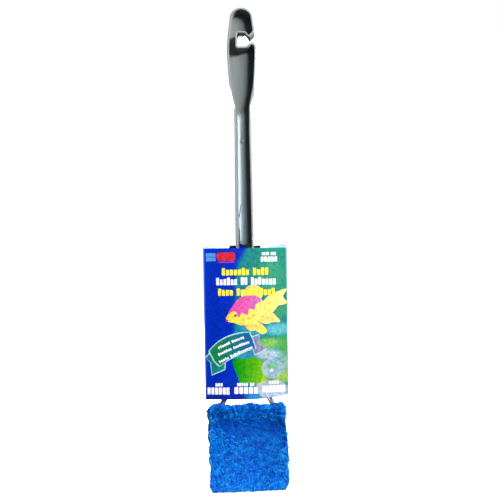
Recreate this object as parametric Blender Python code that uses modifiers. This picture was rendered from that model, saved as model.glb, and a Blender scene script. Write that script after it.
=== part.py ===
"""Long-handled aquarium glass scrubber with its slip-off card sleeve.

Metres, +Z up. The front faces -Y. The origin is the seat of the hang hook: the middle of the hook
pocket's upper wall, where a peg bears and the scrubber hangs. Heights are written as a "drop", the
distance in millimetres below the top of the grip.
"""

import math

import bmesh
import bpy
from mathutils import Matrix

MM = 0.001

# Driving dimensions, in millimetres.
GRIP_TOP = 23.5  # height of the grip's top above the hook seat
HANDLE_DEPTH = 10.0
WALL = 1.7  # thickness of the walls that follow the handle's outline
CAP_DROP = 8.2  # the rounded end of the grip
GRIP_STATIONS = (  # drop, half width
    (0, 9.8), (13, 11.1), (24, 12.5), (40, 13.6), (58, 12.9), (73, 11.7), (84, 9.6), (94, 7.8), (110, 7.7),
    (217, 8.3), (309, 7.4),
)
GRIP_FLOOR_DEPTH = 8.2
STEM_FLOOR_DEPTH = 5.6
STEM_FLOOR_DROP = 96.4  # where the deep floor of the grip steps up to the floor of the stem

FORK_DROP = 309.0  # where the stem starts to flare into two arms
FORK_RADIUS = 106.0  # radius of each arm's flare
ARM_WIDTH = 4.6
ARM_START = 5.1  # distance of an arm's centre line from the axis where the flare starts
WINDOW_TOP = 323.0
CROSSBAR_TOP = 382.6
CROSSBAR_BOTTOM = 393.8
CROSSBAR_HALF = 30.5
CROSSBAR_CORNER = 3.0
HEAD_DEPTH = 6.0  # thickness of the fork where the pad holds it
TAPER_END = 375.0
CHANNEL_END = 352.0  # below this the arms are solid

FRONT_PLY_TOP, BACK_PLY_TOP, PAD_BOTTOM = 370.8, 375.2, 450.2  # drops
PAD_WIDTH, PAD_DEPTH, PAD_CORNER = 76.0, 25.4, 3.0
PLY_INNER = 0.45  # from the pad's mid plane to the inner face of a ply
CLEARANCE = 0.4

RIVET_X, RIVET_DROP = 19.5, 388.4
SHANK_RADIUS, RIVET_HEAD_RADIUS = 1.6, 4.5
RIVET_HEAD_Y = 8.5  # how far the rivet reaches either side of the mid plane

CARD_HALF_WIDTH = 39.1
CARD_TOP, CARD_BOTTOM = 225.0, 366.2  # drops of the front panel's upper crease and lower edge
CARD_THICKNESS = 0.5
CARD_HALF_GAP = 5.6  # from the mid plane to the card where it passes over the handle
CARD_BULGE_HALF = 14.0  # the card keeps that gap this far from the axis, to clear the grip as it slides
CARD_FRONT_SIDE = -4.4  # where the front panel's sides are, front to back
CARD_BACK_SIDE = ((222, 2.4), (262, -2.6), (330, -2.6), (366.2, 1.2))  # drop, and the same for the back panel
FOLD_RISE = 2.5  # the fold slopes up to the back panel, which is this much taller
SLOT_HALF = 14.8  # half width of the slot in the fold that the grip passes through
TAB_HALF, TAB_HEIGHT = 5.15, 4.8
GLUE_X, GLUE_DROP, GLUE_RADIUS = 34.5, 296.0, 3.5

# The hook pocket and its mouth: across, drop, corner radius. It runs out past the grip's right side.
HOOK_SLOT = (
    (-4.1, 23.5, 1.3), (3.0, 23.5, 1.6), (6.6, 28.3, 2.5), (11.6, 23.4, 1.0), (13.0, 19.8, 0), (20, 19.8, 0),
    (20, 39.4, 0), (14.0, 39.4, 0), (13.0, 35.0, 2.0), (10.5, 32.6, 1.4), (8.2, 33.4, 2.0),
    (4.6, 36.3, 2.5), (-4.1, 36.3, 1.3),
)


def height(drop):
    return GRIP_TOP - drop


# ---------------------------------------------------------------- outlines


def smooth_steps(stations, value):
    """A smooth curve through the stations, flat at the ends, read at value."""
    spans = zip(stations, stations[1:])
    slopes = [0.0]
    for (x0, y0), (x1, y1), (x2, y2) in zip(stations, stations[1:], stations[2:]):
        before = (y1 - y0) / (x1 - x0)
        after = (y2 - y1) / (x2 - x1)
        slopes.append(2 * before * after / (before + after) if before * after > 0 else 0.0)
    slopes.append(slopes[-1])
    for (here, there), s0, s1 in zip(spans, slopes, slopes[1:]):
        if value <= there[0]:
            break
    run = there[0] - here[0]
    t = min(max((value - here[0]) / run, 0), 1)
    rise = (3 - 2 * t) * t * t
    return here[1] + rise * (there[1] - here[1]) + run * t * (1 - t) * ((1 - t) * s0 - t * s1)


def arm_centre(drop):
    """How far an arm's centre line is from the axis."""
    return ARM_START + max(drop - FORK_DROP, 0) ** 2 / (2 * FORK_RADIUS)


def half_arm(drop):
    """Half an arm's width, measured across the handle."""
    slope = max(drop - FORK_DROP, 0) / FORK_RADIUS
    return ARM_WIDTH / 2 * math.hypot(1, slope)


def half_width(drop):
    if drop > FORK_DROP:
        return min(arm_centre(drop) + half_arm(drop), CROSSBAR_HALF)
    width = smooth_steps(GRIP_STATIONS, drop)
    if drop < CAP_DROP:
        width *= math.sqrt(1 - (1 - drop / CAP_DROP) ** 2)
    return width


def steps(first, last, count):
    return [first + (last - first) * i / count for i in range(count + 1)]


def mirrored(right_side):
    """A closed outline from its right-hand side, which runs from top to bottom."""
    left = [(-x, z) for x, z in reversed(right_side) if x > 1e-6]
    return right_side + left


def handle_outline():
    cap = [CAP_DROP * (1 - math.cos(a)) for a in steps(0, math.pi / 2, 9)]
    grip = steps(CAP_DROP, 110, 26)[1:]
    stem = steps(110, FORK_DROP, 5)[1:]
    bar_drop = FORK_DROP + math.sqrt(2 * FORK_RADIUS * (CROSSBAR_HALF - ARM_START - half_arm(CROSSBAR_TOP)))
    fork = steps(FORK_DROP, bar_drop, 12)[1:]
    side = [(half_width(drop), height(drop)) for drop in cap + grip + stem + fork]
    corner = (CROSSBAR_HALF - CROSSBAR_CORNER, height(CROSSBAR_BOTTOM - CROSSBAR_CORNER))
    side += [
        (corner[0] + CROSSBAR_CORNER * math.cos(a), corner[1] - CROSSBAR_CORNER * math.sin(a))
        for a in steps(0, math.pi / 2, 5)
    ]
    return mirrored(side)


def window_outline():
    """The gap between the two arms, from its round top to the crossbar."""
    top_radius = arm_centre(WINDOW_TOP) - half_arm(WINDOW_TOP)
    arch = [
        (top_radius * math.sin(a), height(WINDOW_TOP) + top_radius * math.cos(a))
        for a in steps(0, math.pi / 2, 5)
    ]
    sides = [
        (arm_centre(drop) - half_arm(drop), height(drop)) for drop in steps(WINDOW_TOP, CROSSBAR_TOP, 12)[1:]
    ]
    return mirrored(arch + sides)


def rounded_polygon(corners):
    """Points along a polygon whose corners (x, z, radius) are rounded by arcs."""
    points = []
    for i, (x, z, radius) in enumerate(corners):
        (x0, z0, _), (x1, z1, _) = corners[i - 1], corners[(i + 1) % len(corners)]
        back, ahead = (x0 - x, z0 - z), (x1 - x, z1 - z)
        l0, l1 = math.hypot(*back), math.hypot(*ahead)
        back, ahead = (back[0] / l0, back[1] / l0), (ahead[0] / l1, ahead[1] / l1)
        angle = math.acos(max(-1, min(1, back[0] * ahead[0] + back[1] * ahead[1])))
        if radius <= 0 or angle > math.pi - 0.02:
            points.append((x, z))
            continue
        reach = min(radius / math.tan(angle / 2), 0.49 * l0, 0.49 * l1)
        # The corner's arc, drawn as a quadratic curve between its two tangent points.
        for t in steps(0, 1, 5):
            a, b = reach * (1 - t) ** 2, reach * t**2
            points.append((x + back[0] * a + ahead[0] * b, z + back[1] * a + ahead[1] * b))
    return points


def signed_area(points):
    return sum(x0 * z1 - x1 * z0 for (x0, z0), (x1, z1) in zip(points, points[1:] + points[:1])) / 2


def grown(points, distance):
    """The outline moved outwards by distance, or inwards where it is negative."""
    turn = 1 if signed_area(points) > 0 else -1
    moved = []
    for i, (x, z) in enumerate(points):
        (x0, z0), (x1, z1) = points[i - 1], points[(i + 1) % len(points)]
        l0, l1 = math.hypot(x - x0, z - z0), math.hypot(x1 - x, z1 - z)
        n0 = ((z - z0) / l0, (x0 - x) / l0)
        n1 = ((z1 - z) / l1, (x - x1) / l1)
        share = 1 + n0[0] * n1[0] + n0[1] * n1[1]
        scale = turn * distance / max(share, 0.3)
        moved.append((x + (n0[0] + n1[0]) * scale, z + (n0[1] + n1[1]) * scale))
    return moved


def hook_slot(extra=0.0):
    """The hook pocket's outline, or with extra the outline of the wall that follows it."""
    corners = [(x, height(drop)) for x, drop, _ in HOOK_SLOT]
    turn = 1 if signed_area(corners) > 0 else -1
    rounded = []
    for i, (moved, (_, _, radius)) in enumerate(zip(grown(corners, extra), HOOK_SLOT)):
        (x0, z0), (x, z), (x1, z1) = corners[i - 1], corners[i], corners[(i + 1) % len(corners)]
        convex = turn * ((x - x0) * (z1 - z) - (z - z0) * (x1 - x)) > 0
        if radius and extra:
            radius = radius + extra if convex else max(radius - extra, 0.3)
        rounded.append((*moved, radius))
    return rounded_polygon(rounded)


# ---------------------------------------------------------------- solids


def collection_of(name, hidden):
    made = bpy.data.collections.new(name)
    bpy.context.scene.collection.children.link(made)
    made.hide_render = hidden
    return made


def place(mesh_or_curve, name, role):
    obj = bpy.data.objects.new(name, mesh_or_curve)
    COLLECTIONS[role].objects.link(obj)
    if role == "cutters":
        obj.hide_render = True
        obj.display_type = "WIRE"
    return obj


def mesh_from(curve_object, name, role):
    """The curve object as a closed mesh object in the same place."""
    bpy.context.view_layer.update()
    graph = bpy.context.evaluated_depsgraph_get()
    mesh = bpy.data.meshes.new_from_object(curve_object.evaluated_get(graph))
    edit = bmesh.new()
    edit.from_mesh(mesh)
    bmesh.ops.remove_doubles(edit, verts=edit.verts, dist=1e-6)
    bmesh.ops.recalc_face_normals(edit, faces=edit.faces)
    edit.to_mesh(mesh)
    edit.free()
    obj = place(mesh, name, role)
    obj.matrix_world = curve_object.matrix_world
    bpy.data.objects.remove(curve_object)
    return obj


# The two planes that flat outlines are drawn in: across and up, and front to back and up.
FRONT_PLANE = Matrix(((1, 0, 0), (0, 0, -1), (0, 1, 0))).to_4x4()
SIDE_PLANE = Matrix(((0, 0, 1), (1, 0, 0), (0, 1, 0))).to_4x4()


def plate(name, outline, low, high, role="cutters", plane=FRONT_PLANE):
    """A flat outline in millimetres, thick from low to high along Y (FRONT_PLANE) or X (SIDE_PLANE)."""
    curve = bpy.data.curves.new(name + "_outline", "CURVE")
    curve.dimensions = "2D"
    curve.fill_mode = "BOTH"
    curve.extrude = (high - low) / 2 * MM
    spline = curve.splines.new("POLY")
    spline.points.add(len(outline) - 1)
    for point, (x, z) in zip(spline.points, outline):
        point.co = (x * MM, z * MM, 0, 1)
    spline.use_cyclic_u = True
    drawn = place(curve, name + "_outline", "cutters")
    middle = (low + high) / 2 * MM
    offset = (0, middle, 0) if plane is FRONT_PLANE else (middle, 0, 0)
    drawn.matrix_world = Matrix.Translation(offset) @ plane
    return mesh_from(drawn, name, role)


def cylinder(name, radius, low, high, x, z, role="cutters", segments=20):
    """A round bar along Y, in millimetres."""
    mesh = bpy.data.meshes.new(name)
    edit = bmesh.new()
    bmesh.ops.create_cone(
        edit, cap_ends=True, segments=segments, radius1=radius * MM, radius2=radius * MM, depth=(high - low) * MM
    )
    edit.to_mesh(mesh)
    edit.free()
    obj = place(mesh, name, role)
    obj.matrix_world = Matrix.Translation((x * MM, (low + high) / 2 * MM, z * MM)) @ FRONT_PLANE
    return obj


def turned(name, profile, x, z, steps_round=20):
    """A turned piece whose axis is along Y. The profile is (radius, distance towards the front)."""
    mesh = bpy.data.meshes.new(name)
    closed = profile[0][0] > 0
    edges = [(i, i + 1) for i in range(len(profile) - 1)] + ([(len(profile) - 1, 0)] if closed else [])
    mesh.from_pydata([(r * MM, 0, along * MM) for r, along in profile], edges, [])
    obj = place(mesh, name, "parts")
    obj.matrix_world = Matrix.Translation((x * MM, 0, z * MM)) @ FRONT_PLANE
    screw = obj.modifiers.new("turn", "SCREW")
    screw.steps = screw.render_steps = steps_round
    screw.use_merge_vertices = True
    screw.merge_threshold = 1e-6
    return obj


def boolean(obj, other, operation):
    modifier = obj.modifiers.new(operation.lower(), "BOOLEAN")
    modifier.operation = operation
    modifier.object = other
    modifier.solver = "EXACT"


# ---------------------------------------------------------------- sub-parts


def thickness_profile():
    """The handle seen from the side: even in depth down to the fork, thinner where the pad holds it."""
    half, head, over = HANDLE_DEPTH / 2, HEAD_DEPTH / 2, 5
    top, taper, thin, bottom = (height(d) for d in (-over, 296, TAPER_END, CROSSBAR_BOTTOM + over))
    return [(-half, top), (-half, taper), (-head, thin), (-head, bottom),
            (head, bottom), (head, thin), (half, taper), (half, top)]


def channel_profile():
    """The open front channel seen from the side: deep in the grip, shallower in the stem and the arms."""
    half, in_front = HANDLE_DEPTH / 2, -HANDLE_DEPTH
    grip, stem, arms = -half + GRIP_FLOOR_DEPTH, -half + STEM_FLOOR_DEPTH, 0.9
    stations = ((0, grip), (STEM_FLOOR_DROP, grip), (STEM_FLOOR_DROP, stem), (296, stem), (CHANNEL_END, arms))
    floor = [(y, height(drop)) for drop, y in stations]
    return floor + [(in_front, height(CHANNEL_END)), (in_front, height(0))]


def make_handle():
    """One moulding: hook, channelled grip and stem, forked arms and the crossbar inside the pad."""
    outline, window = handle_outline(), window_outline()
    half, through = HANDLE_DEPTH / 2, HANDLE_DEPTH
    handle = plate("handle", outline, -half, half, "parts")
    boolean(handle, plate("thickness", thickness_profile(), -50, 50, plane=SIDE_PLANE), "INTERSECT")

    channel = plate("channel", grown(outline, -WALL), -through, through)
    boolean(channel, plate("channel_depth", channel_profile(), -60, 60, plane=SIDE_PLANE), "INTERSECT")
    boolean(channel, plate("slot_wall", hook_slot(WALL), -through - 1, through + 1), "DIFFERENCE")
    boolean(channel, plate("window_wall", grown(window, WALL), -through - 1, through + 1), "DIFFERENCE")
    boolean(handle, channel, "DIFFERENCE")

    boolean(handle, plate("slot", hook_slot(), -through, through), "DIFFERENCE")
    boolean(handle, plate("window", window, -through, through), "DIFFERENCE")
    for side in (-1, 1):
        hole = cylinder(
            f"crossbar_hole_{side}", SHANK_RADIUS + CLEARANCE, -half, half, side * RIVET_X, height(RIVET_DROP)
        )
        boolean(handle, hole, "DIFFERENCE")
    floor = -half + STEM_FLOOR_DEPTH
    pin_mark = cylinder("pin_mark", 2.2, floor - 0.3, floor + 0.6, -0.4, height(123.5), segments=24)
    boolean(handle, pin_mark, "UNION")
    return handle


def pad_outline(top_drop, inset=0.0):
    side, top, bottom = PAD_WIDTH / 2 - inset, height(top_drop + inset), height(PAD_BOTTOM - inset)
    return rounded_polygon(
        [(-side, top, PAD_CORNER), (side, top, PAD_CORNER), (side, bottom, PAD_CORNER), (-side, bottom, PAD_CORNER)]
    )


def make_pad_ply(name, facing):
    """Half of the scrubbing pad. facing is -1 for the front ply and 1 for the back one."""
    inner, outer = PLY_INNER, PAD_DEPTH / 2
    top_drop = FRONT_PLY_TOP if facing < 0 else BACK_PLY_TOP
    ply = plate(name, pad_outline(top_drop), *sorted((facing * inner, facing * outer)), "parts")
    recess_floor = HEAD_DEPTH / 2 + CLEARANCE
    recess = plate(f"{name}_recess", grown(handle_outline(), CLEARANCE), -recess_floor, recess_floor)
    land = plate(f"{name}_land", grown(window_outline(), -CLEARANCE), -recess_floor - 1, recess_floor + 1)
    boolean(recess, land, "DIFFERENCE")
    boolean(ply, recess, "DIFFERENCE")
    for side in (-1, 1):
        x, z = side * RIVET_X, height(RIVET_DROP)
        hole = cylinder(f"{name}_hole_{side}", SHANK_RADIUS + CLEARANCE, -outer, outer, x, z)
        sink_low, sink_high = sorted((facing * 6.6, facing * (outer + 1)))
        sink = cylinder(f"{name}_sink_{side}", RIVET_HEAD_RADIUS + 0.5, sink_low, sink_high, x, z, segments=24)
        boolean(ply, hole, "DIFFERENCE")
        boolean(ply, sink, "DIFFERENCE")
    return ply


def make_bond_film():
    """The sheet of adhesive that holds the two plies together round the crossbar."""
    film = plate("pad_bond_film", pad_outline(BACK_PLY_TOP, inset=2), -0.15, 0.15, "parts")
    boolean(film, plate("film_cut", grown(handle_outline(), CLEARANCE), -2, 2), "DIFFERENCE")
    return film


def make_rivet(name, x):
    """A plastic rivet through both plies and the crossbar, with its head pulled into the front ply."""
    head, end, under = RIVET_HEAD_Y, -RIVET_HEAD_Y - 0.2, RIVET_HEAD_Y - 1.5
    profile = [
        (0, head), (1.6, head), (3.1, head - 0.35), (RIVET_HEAD_RADIUS, head - 1.1), (RIVET_HEAD_RADIUS, under),
        (SHANK_RADIUS, under), (SHANK_RADIUS, end + 0.4), (SHANK_RADIUS - 0.4, end), (0, end),
    ]
    return turned(name, profile, x, height(RIVET_DROP))


def make_washer(name, x):
    """The push-on washer that holds the rivet's end against the back ply."""
    near, far, bore = -RIVET_HEAD_Y + 1.5, -RIVET_HEAD_Y + 0.3, SHANK_RADIUS + 0.35
    rim = RIVET_HEAD_RADIUS
    profile = [(bore, near), (rim, near), (rim, far + 0.3), (rim - 0.3, far), (bore, far)]
    return turned(name, profile, x, height(RIVET_DROP))


def card_y(x, drop, facing):
    """Where the card's middle surface is. The front panel (facing -1) is nearly flat. The back panel (facing
    1) bulges over the handle, and its sides are drawn in towards the front one."""
    if facing < 0:
        at_side = CARD_FRONT_SIDE
    else:
        at_side = smooth_steps(CARD_BACK_SIDE, drop)
    across = min(max((abs(x) - CARD_BULGE_HALF) / (CARD_HALF_WIDTH - CARD_BULGE_HALF), 0), 1)
    bulge = (1 + math.cos(math.pi * across)) / 2
    return at_side + (facing * CARD_HALF_GAP - at_side) * bulge


def card_columns():
    """Where the card's columns of vertices are, with one on each edge of the slot and of the tab."""
    right = [0, TAB_HALF, 10, SLOT_HALF, 18, 21.5, 25, 29, 34, CARD_HALF_WIDTH]
    return [-x for x in reversed(right[1:])] + right


def make_sleeve_card():
    """One folded card: front panel, top fold with the slot and its tab, and back panel."""
    columns = card_columns()
    fold_first, fold_turns, panel_rows = 9, 4, 9
    back_top = CARD_TOP - FOLD_RISE
    rows = fold_first + fold_turns + panel_rows + 1

    edit = bmesh.new()
    bmesh.ops.create_grid(edit, x_segments=len(columns) - 1, y_segments=rows - 1, size=0.5)
    grid = sorted(edit.verts, key=lambda v: (round(v.co.y, 6), v.co.x))
    for number, vertex in enumerate(grid):
        row, column = divmod(number, len(columns))
        x = columns[column]
        if row <= fold_first:
            drop = CARD_BOTTOM + (CARD_TOP - CARD_BOTTOM) * row / fold_first
            y, z = card_y(x, drop, -1), height(drop)
        elif row >= fold_first + fold_turns:
            drop = back_top + (CARD_BOTTOM - back_top) * (row - fold_first - fold_turns) / panel_rows
            y, z = card_y(x, drop, 1), height(drop)
        elif abs(x) <= TAB_HALF:
            y, z = -CARD_HALF_GAP, height(CARD_TOP) + TAB_HEIGHT * (row - fold_first) / 2
        else:
            share = (row - fold_first) / fold_turns
            front, back = card_y(x, CARD_TOP, -1), card_y(x, back_top, 1)
            y, z = front + (back - front) * share, height(CARD_TOP) + FOLD_RISE * share
        vertex.co = (x * MM, y * MM, z * MM)

    def in_slot(face):
        corners = [divmod(grid_index[v], len(columns)) for v in face.verts]
        low_row = min(row for row, _ in corners)
        across = max(abs(columns[column]) for _, column in corners)
        on_fold = fold_first <= low_row < fold_first + fold_turns
        on_tab = low_row < fold_first + 2 and across <= TAB_HALF + 0.01
        return on_fold and across <= SLOT_HALF + 0.01 and not on_tab

    grid_index = {vertex: number for number, vertex in enumerate(grid)}
    bmesh.ops.delete(edit, geom=[face for face in edit.faces if in_slot(face)], context="FACES")
    bmesh.ops.recalc_face_normals(edit, faces=edit.faces)
    mesh = bpy.data.meshes.new("sleeve_card")
    edit.to_mesh(mesh)
    edit.free()
    card = place(mesh, "sleeve_card", "parts")
    thick = card.modifiers.new("board", "SOLIDIFY")
    thick.thickness = CARD_THICKNESS * MM
    thick.offset = 0
    thick.use_even_offset = True
    return card


def make_glue_dot(name, x):
    """A dot of glue between the card's two panels, as thin as their gap at the card's side."""
    skin = CARD_THICKNESS / 2 + CLEARANCE
    near = card_y(CARD_HALF_WIDTH, GLUE_DROP, -1) + skin
    far = card_y(CARD_HALF_WIDTH, GLUE_DROP, 1) - skin
    return cylinder(name, GLUE_RADIUS, near, far, x, height(GLUE_DROP), "parts", segments=16)


# ---------------------------------------------------------------- materials

# Name: base colour, roughness, metallic.
MATERIALS = {
    "grey_plastic": ((0.33, 0.35, 0.34), 0.30, 0.25),
    "blue_fibre": ((0.01, 0.16, 0.56), 0.85, 0.0),
    "clear_adhesive": ((0.75, 0.76, 0.70), 0.40, 0.0),
    "blue_nylon": ((0.02, 0.10, 0.35), 0.45, 0.0),
    "printed_card": ((0.05, 0.18, 0.60), 0.40, 0.0),
    "white_glue": ((0.85, 0.84, 0.80), 0.50, 0.0),
}


def material(name):
    if name in bpy.data.materials:
        return bpy.data.materials[name]
    made = bpy.data.materials.new(name)
    made.use_nodes = True
    shader = made.node_tree.nodes["Principled BSDF"]
    colour, roughness, metallic = MATERIALS[name]
    shader.inputs["Base Color"].default_value = (*colour, 1)
    shader.inputs["Roughness"].default_value = roughness
    shader.inputs["Metallic"].default_value = metallic
    return made


def finish_with(obj, name):
    obj.data.materials.clear()
    obj.data.materials.append(material(name))


def main():
    for obj in list(bpy.data.objects):
        bpy.data.objects.remove(obj)
    COLLECTIONS["parts"] = collection_of("glass_scrubber", hidden=False)
    COLLECTIONS["cutters"] = collection_of("cutters", hidden=True)

    finish_with(make_handle(), "grey_plastic")
    finish_with(make_pad_ply("pad_front_ply", -1), "blue_fibre")
    finish_with(make_pad_ply("pad_back_ply", 1), "blue_fibre")
    finish_with(make_bond_film(), "clear_adhesive")
    for side, x in (("left", -RIVET_X), ("right", RIVET_X)):
        finish_with(make_rivet(f"pad_rivet_{side}", x), "blue_nylon")
        finish_with(make_washer(f"rivet_washer_{side}", x), "blue_nylon")
    finish_with(make_sleeve_card(), "printed_card")
    for side, x in (("left", -GLUE_X), ("right", GLUE_X)):
        finish_with(make_glue_dot(f"glue_dot_{side}", x), "white_glue")


COLLECTIONS = {}
main()
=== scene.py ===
"""Looks of the long-handled aquarium scrubber: moulded handle, fibre pad and printed card sleeve.

Lengths are in millimetres unless a name says otherwise: X across, Y front to back, Z up, as in the
frame. A "drop" is a distance below the top of the grip, and "inside" is how far a point of the
handle is from the nearest edge of its outline.
"""

import math

import bmesh
import bpy
import numpy as np
from mathutils import Matrix, Vector, bvhtree, geometry, noise


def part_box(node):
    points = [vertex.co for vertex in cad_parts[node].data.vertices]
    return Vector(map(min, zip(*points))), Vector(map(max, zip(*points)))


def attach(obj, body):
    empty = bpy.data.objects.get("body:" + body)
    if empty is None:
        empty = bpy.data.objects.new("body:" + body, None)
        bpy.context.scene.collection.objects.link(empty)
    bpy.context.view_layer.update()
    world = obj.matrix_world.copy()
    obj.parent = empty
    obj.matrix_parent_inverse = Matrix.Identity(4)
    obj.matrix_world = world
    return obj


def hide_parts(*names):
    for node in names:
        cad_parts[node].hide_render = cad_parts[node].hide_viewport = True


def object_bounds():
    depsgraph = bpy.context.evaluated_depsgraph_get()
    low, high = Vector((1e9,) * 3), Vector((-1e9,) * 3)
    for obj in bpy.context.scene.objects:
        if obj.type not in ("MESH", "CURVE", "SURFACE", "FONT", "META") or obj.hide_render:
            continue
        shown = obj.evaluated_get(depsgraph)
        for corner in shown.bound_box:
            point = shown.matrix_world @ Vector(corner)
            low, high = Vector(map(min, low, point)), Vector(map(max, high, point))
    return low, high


MM = 0.001
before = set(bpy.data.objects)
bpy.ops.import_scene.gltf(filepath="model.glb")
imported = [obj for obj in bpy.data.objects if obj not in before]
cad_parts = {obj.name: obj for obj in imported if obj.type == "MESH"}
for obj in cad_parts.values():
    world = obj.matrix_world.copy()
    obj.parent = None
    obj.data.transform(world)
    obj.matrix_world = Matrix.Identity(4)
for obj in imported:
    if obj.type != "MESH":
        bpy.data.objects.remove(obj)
cad_low, cad_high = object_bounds()
handle_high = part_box("handle")[1]
GRIP_TOP = handle_high.z / MM
HALF_DEPTH = handle_high.y / MM  # half the handle's thickness


def height(drop):
    return GRIP_TOP - drop


def steps(first, last, count):
    return [first + (last - first) * i / count for i in range(count + 1)]


def smoothstep(low, high, value):
    t = np.clip((np.asarray(value, float) - low) / (high - low), 0, 1)
    return t * t * (3 - 2 * t)


def fall_off(value, middle, reach):
    """1 at the middle, fading smoothly over the reach on both sides."""
    return np.exp(-(((np.asarray(value, float) - middle) / reach) ** 2))


def linear(seen):
    """Colours as seen on a screen, 0 to 255, as the linear ones that the shaders use."""
    seen = np.clip(seen, 0, 255) / 255
    return np.where(seen > 0.04, ((seen + 0.055) / 1.055) ** 2.4, seen / 12.92)


# ---------------------------------------------------------------- node materials


class Look:
    """A material in the making. Its plain sockets are named in the call, with _ for a space."""

    def __init__(self, name, **sockets):
        self.mat = bpy.data.materials.new(name)
        self.mat.use_nodes = True
        self.nodes, self.links = self.mat.node_tree.nodes, self.mat.node_tree.links
        self.shader = self.nodes["Principled BSDF"]
        for socket, value in sockets.items():
            self.shader.inputs[socket.replace("_", " ")].default_value = value

    def attribute(self, name):
        made = self.nodes.new("ShaderNodeAttribute")
        made.attribute_name = name
        return made.outputs["Fac"]

    def noise(self, scale, stretch=(1, 1, 1), detail=3.0, rough=0.5, distortion=0.0):
        """Noise in the piece's own space. Its scale is in waves per metre."""
        place = self.nodes.new("ShaderNodeTexCoord")
        mapping = self.nodes.new("ShaderNodeMapping")
        mapping.inputs["Scale"].default_value = stretch
        self.links.new(place.outputs["Object"], mapping.inputs["Vector"])
        made = self.nodes.new("ShaderNodeTexNoise")
        self.links.new(mapping.outputs["Vector"], made.inputs["Vector"])
        settings = {"Scale": scale, "Detail": detail, "Roughness": rough, "Distortion": distortion}
        for socket, value in settings.items():
            made.inputs[socket].default_value = value
        return made.outputs["Fac"]

    def ramp(self, source, *stops):
        """Colours along a 0 to 1 source. A stop is (place, colour), where one number is a grey."""
        made = self.nodes.new("ShaderNodeValToRGB")
        self.links.new(source, made.inputs["Fac"])
        elements = made.color_ramp.elements
        while len(elements) < len(stops):
            elements.new(0.5)
        for element, (place, colour) in zip(elements, stops):
            element.position = place
            element.color = (*np.broadcast_to(colour, 3), 1)
        return made.outputs["Color"]

    def multiplied(self, factor, first, second):
        made = self.nodes.new("ShaderNodeMix")
        made.data_type = "RGBA"
        made.blend_type = "MULTIPLY"
        made.inputs["Factor"].default_value = factor
        self.links.new(first, made.inputs["A"])
        self.links.new(second, made.inputs["B"])
        return made.outputs["Result"]

    def colour(self, source):
        self.links.new(source, self.shader.inputs["Base Color"])

    def roughness(self, source, *stops):
        self.links.new(self.ramp(source, *stops), self.shader.inputs["Roughness"])

    def bump(self, source, strength, distance):
        made = self.nodes.new("ShaderNodeBump")
        made.inputs["Strength"].default_value = strength
        made.inputs["Distance"].default_value = distance
        self.links.new(source, made.inputs["Height"])
        self.links.new(made.outputs["Normal"], self.shader.inputs["Normal"])


def plastic_material():
    """Cool grey moulded plastic with flow marks along its length, paler on the rims and raised marks, a
    painted highlight, and darker in a groove, a painted shade.
    """
    look = Look("grey_plastic_look", Specular_IOR_Level=0.08, Coat_Weight=0.60, Coat_Roughness=0.055)
    flow = look.noise(60, stretch=(3, 3, 0.35))
    grey = look.ramp(flow, (0.3, (0.156, 0.176, 0.178)), (0.7, (0.194, 0.214, 0.212)))
    # The tone paints a highlight on the rims and raised marks, and shade in the groove.
    tone = look.ramp(look.attribute("painted_light_and_wear"), (0.1, 0.15), (0.45, 1.0), (0.6, 1.0), (0.9, 1.4))
    look.colour(look.multiplied(1.0, grey, tone))
    look.roughness(look.noise(220, stretch=(1, 1, 0.4), detail=4), (0.3, 0.42), (0.75, 0.56))
    look.bump(look.noise(1400, detail=2), 0.10, 0.00015)
    return look.mat


def print_material():
    """Four-colour print on board under a gloss varnish: the ink's colour is painted on the mesh."""
    look = Look("printed_face_look", Specular_IOR_Level=0.06, Coat_Weight=0.05, Coat_Roughness=0.15)
    ink = look.nodes.new("ShaderNodeVertexColor")
    ink.layer_name = "ink"
    mottle = look.ramp(look.noise(420, detail=4, rough=0.7), (0.28, 0.35), (0.5, 0.95), (0.72, 1.5))
    look.colour(look.multiplied(0.7, ink.outputs["Color"], mottle))
    look.roughness(look.noise(90), (0.3, 0.44), (0.7, 0.60))
    look.bump(look.noise(900, detail=2), 0.06, 0.0001)
    return look.mat


def board_material():
    """The board's raw side and cut edges: warm white with grey specks and a felted surface."""
    look = Look("board_look")
    grey, cream, pale = (0.42, 0.40, 0.36), (0.70, 0.68, 0.62), (0.80, 0.79, 0.74)
    look.colour(look.ramp(look.noise(1600, rough=0.7), (0.25, grey), (0.4, cream), (0.8, pale)))
    felt = look.noise(700, detail=4)
    look.roughness(felt, (0.3, 0.75), (0.7, 0.92))
    look.bump(felt, 0.25, 0.0002)
    return look.mat


def fibre_material():
    """Blue synthetic fibre: each strand has its own shade, which also carries painted highlights and painted
    shade, and its colour wanders along it.
    """
    look = Look("fibre_strand_look", Specular_IOR_Level=0.05)
    blue = look.ramp(
        look.attribute("shade"), (0.0, linear((0, 50, 148))), (0.25, linear((0, 70, 172))),
        (0.55, linear((0, 104, 204))), (0.85, linear((0, 142, 230))), (1.0, linear((60, 190, 246))),
    )
    tone = look.ramp(look.noise(110), (0.32, 0.86), (0.5, 1.0), (0.7, 1.1))
    look.colour(look.multiplied(0.8, blue, tone))
    look.roughness(look.noise(600, detail=2), (0.3, 0.30), (0.7, 0.55))
    return look.mat


def matting_material():
    """The depth of the pad, where the strands lie close and little light gets in."""
    look = Look("fibre_core_look", Specular_IOR_Level=0.1)
    strands = look.noise(900, detail=4, rough=0.65, distortion=1.5)
    blue = [linear(seen) for seen in ((0, 34, 118), (0, 50, 142), (0, 74, 170))]
    look.colour(look.ramp(strands, *zip((0.3, 0.5, 0.75), blue)))
    look.roughness(strands, (0.3, 0.95), (0.7, 0.6))
    look.bump(strands, 0.9, 0.0008)
    return look.mat


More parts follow.
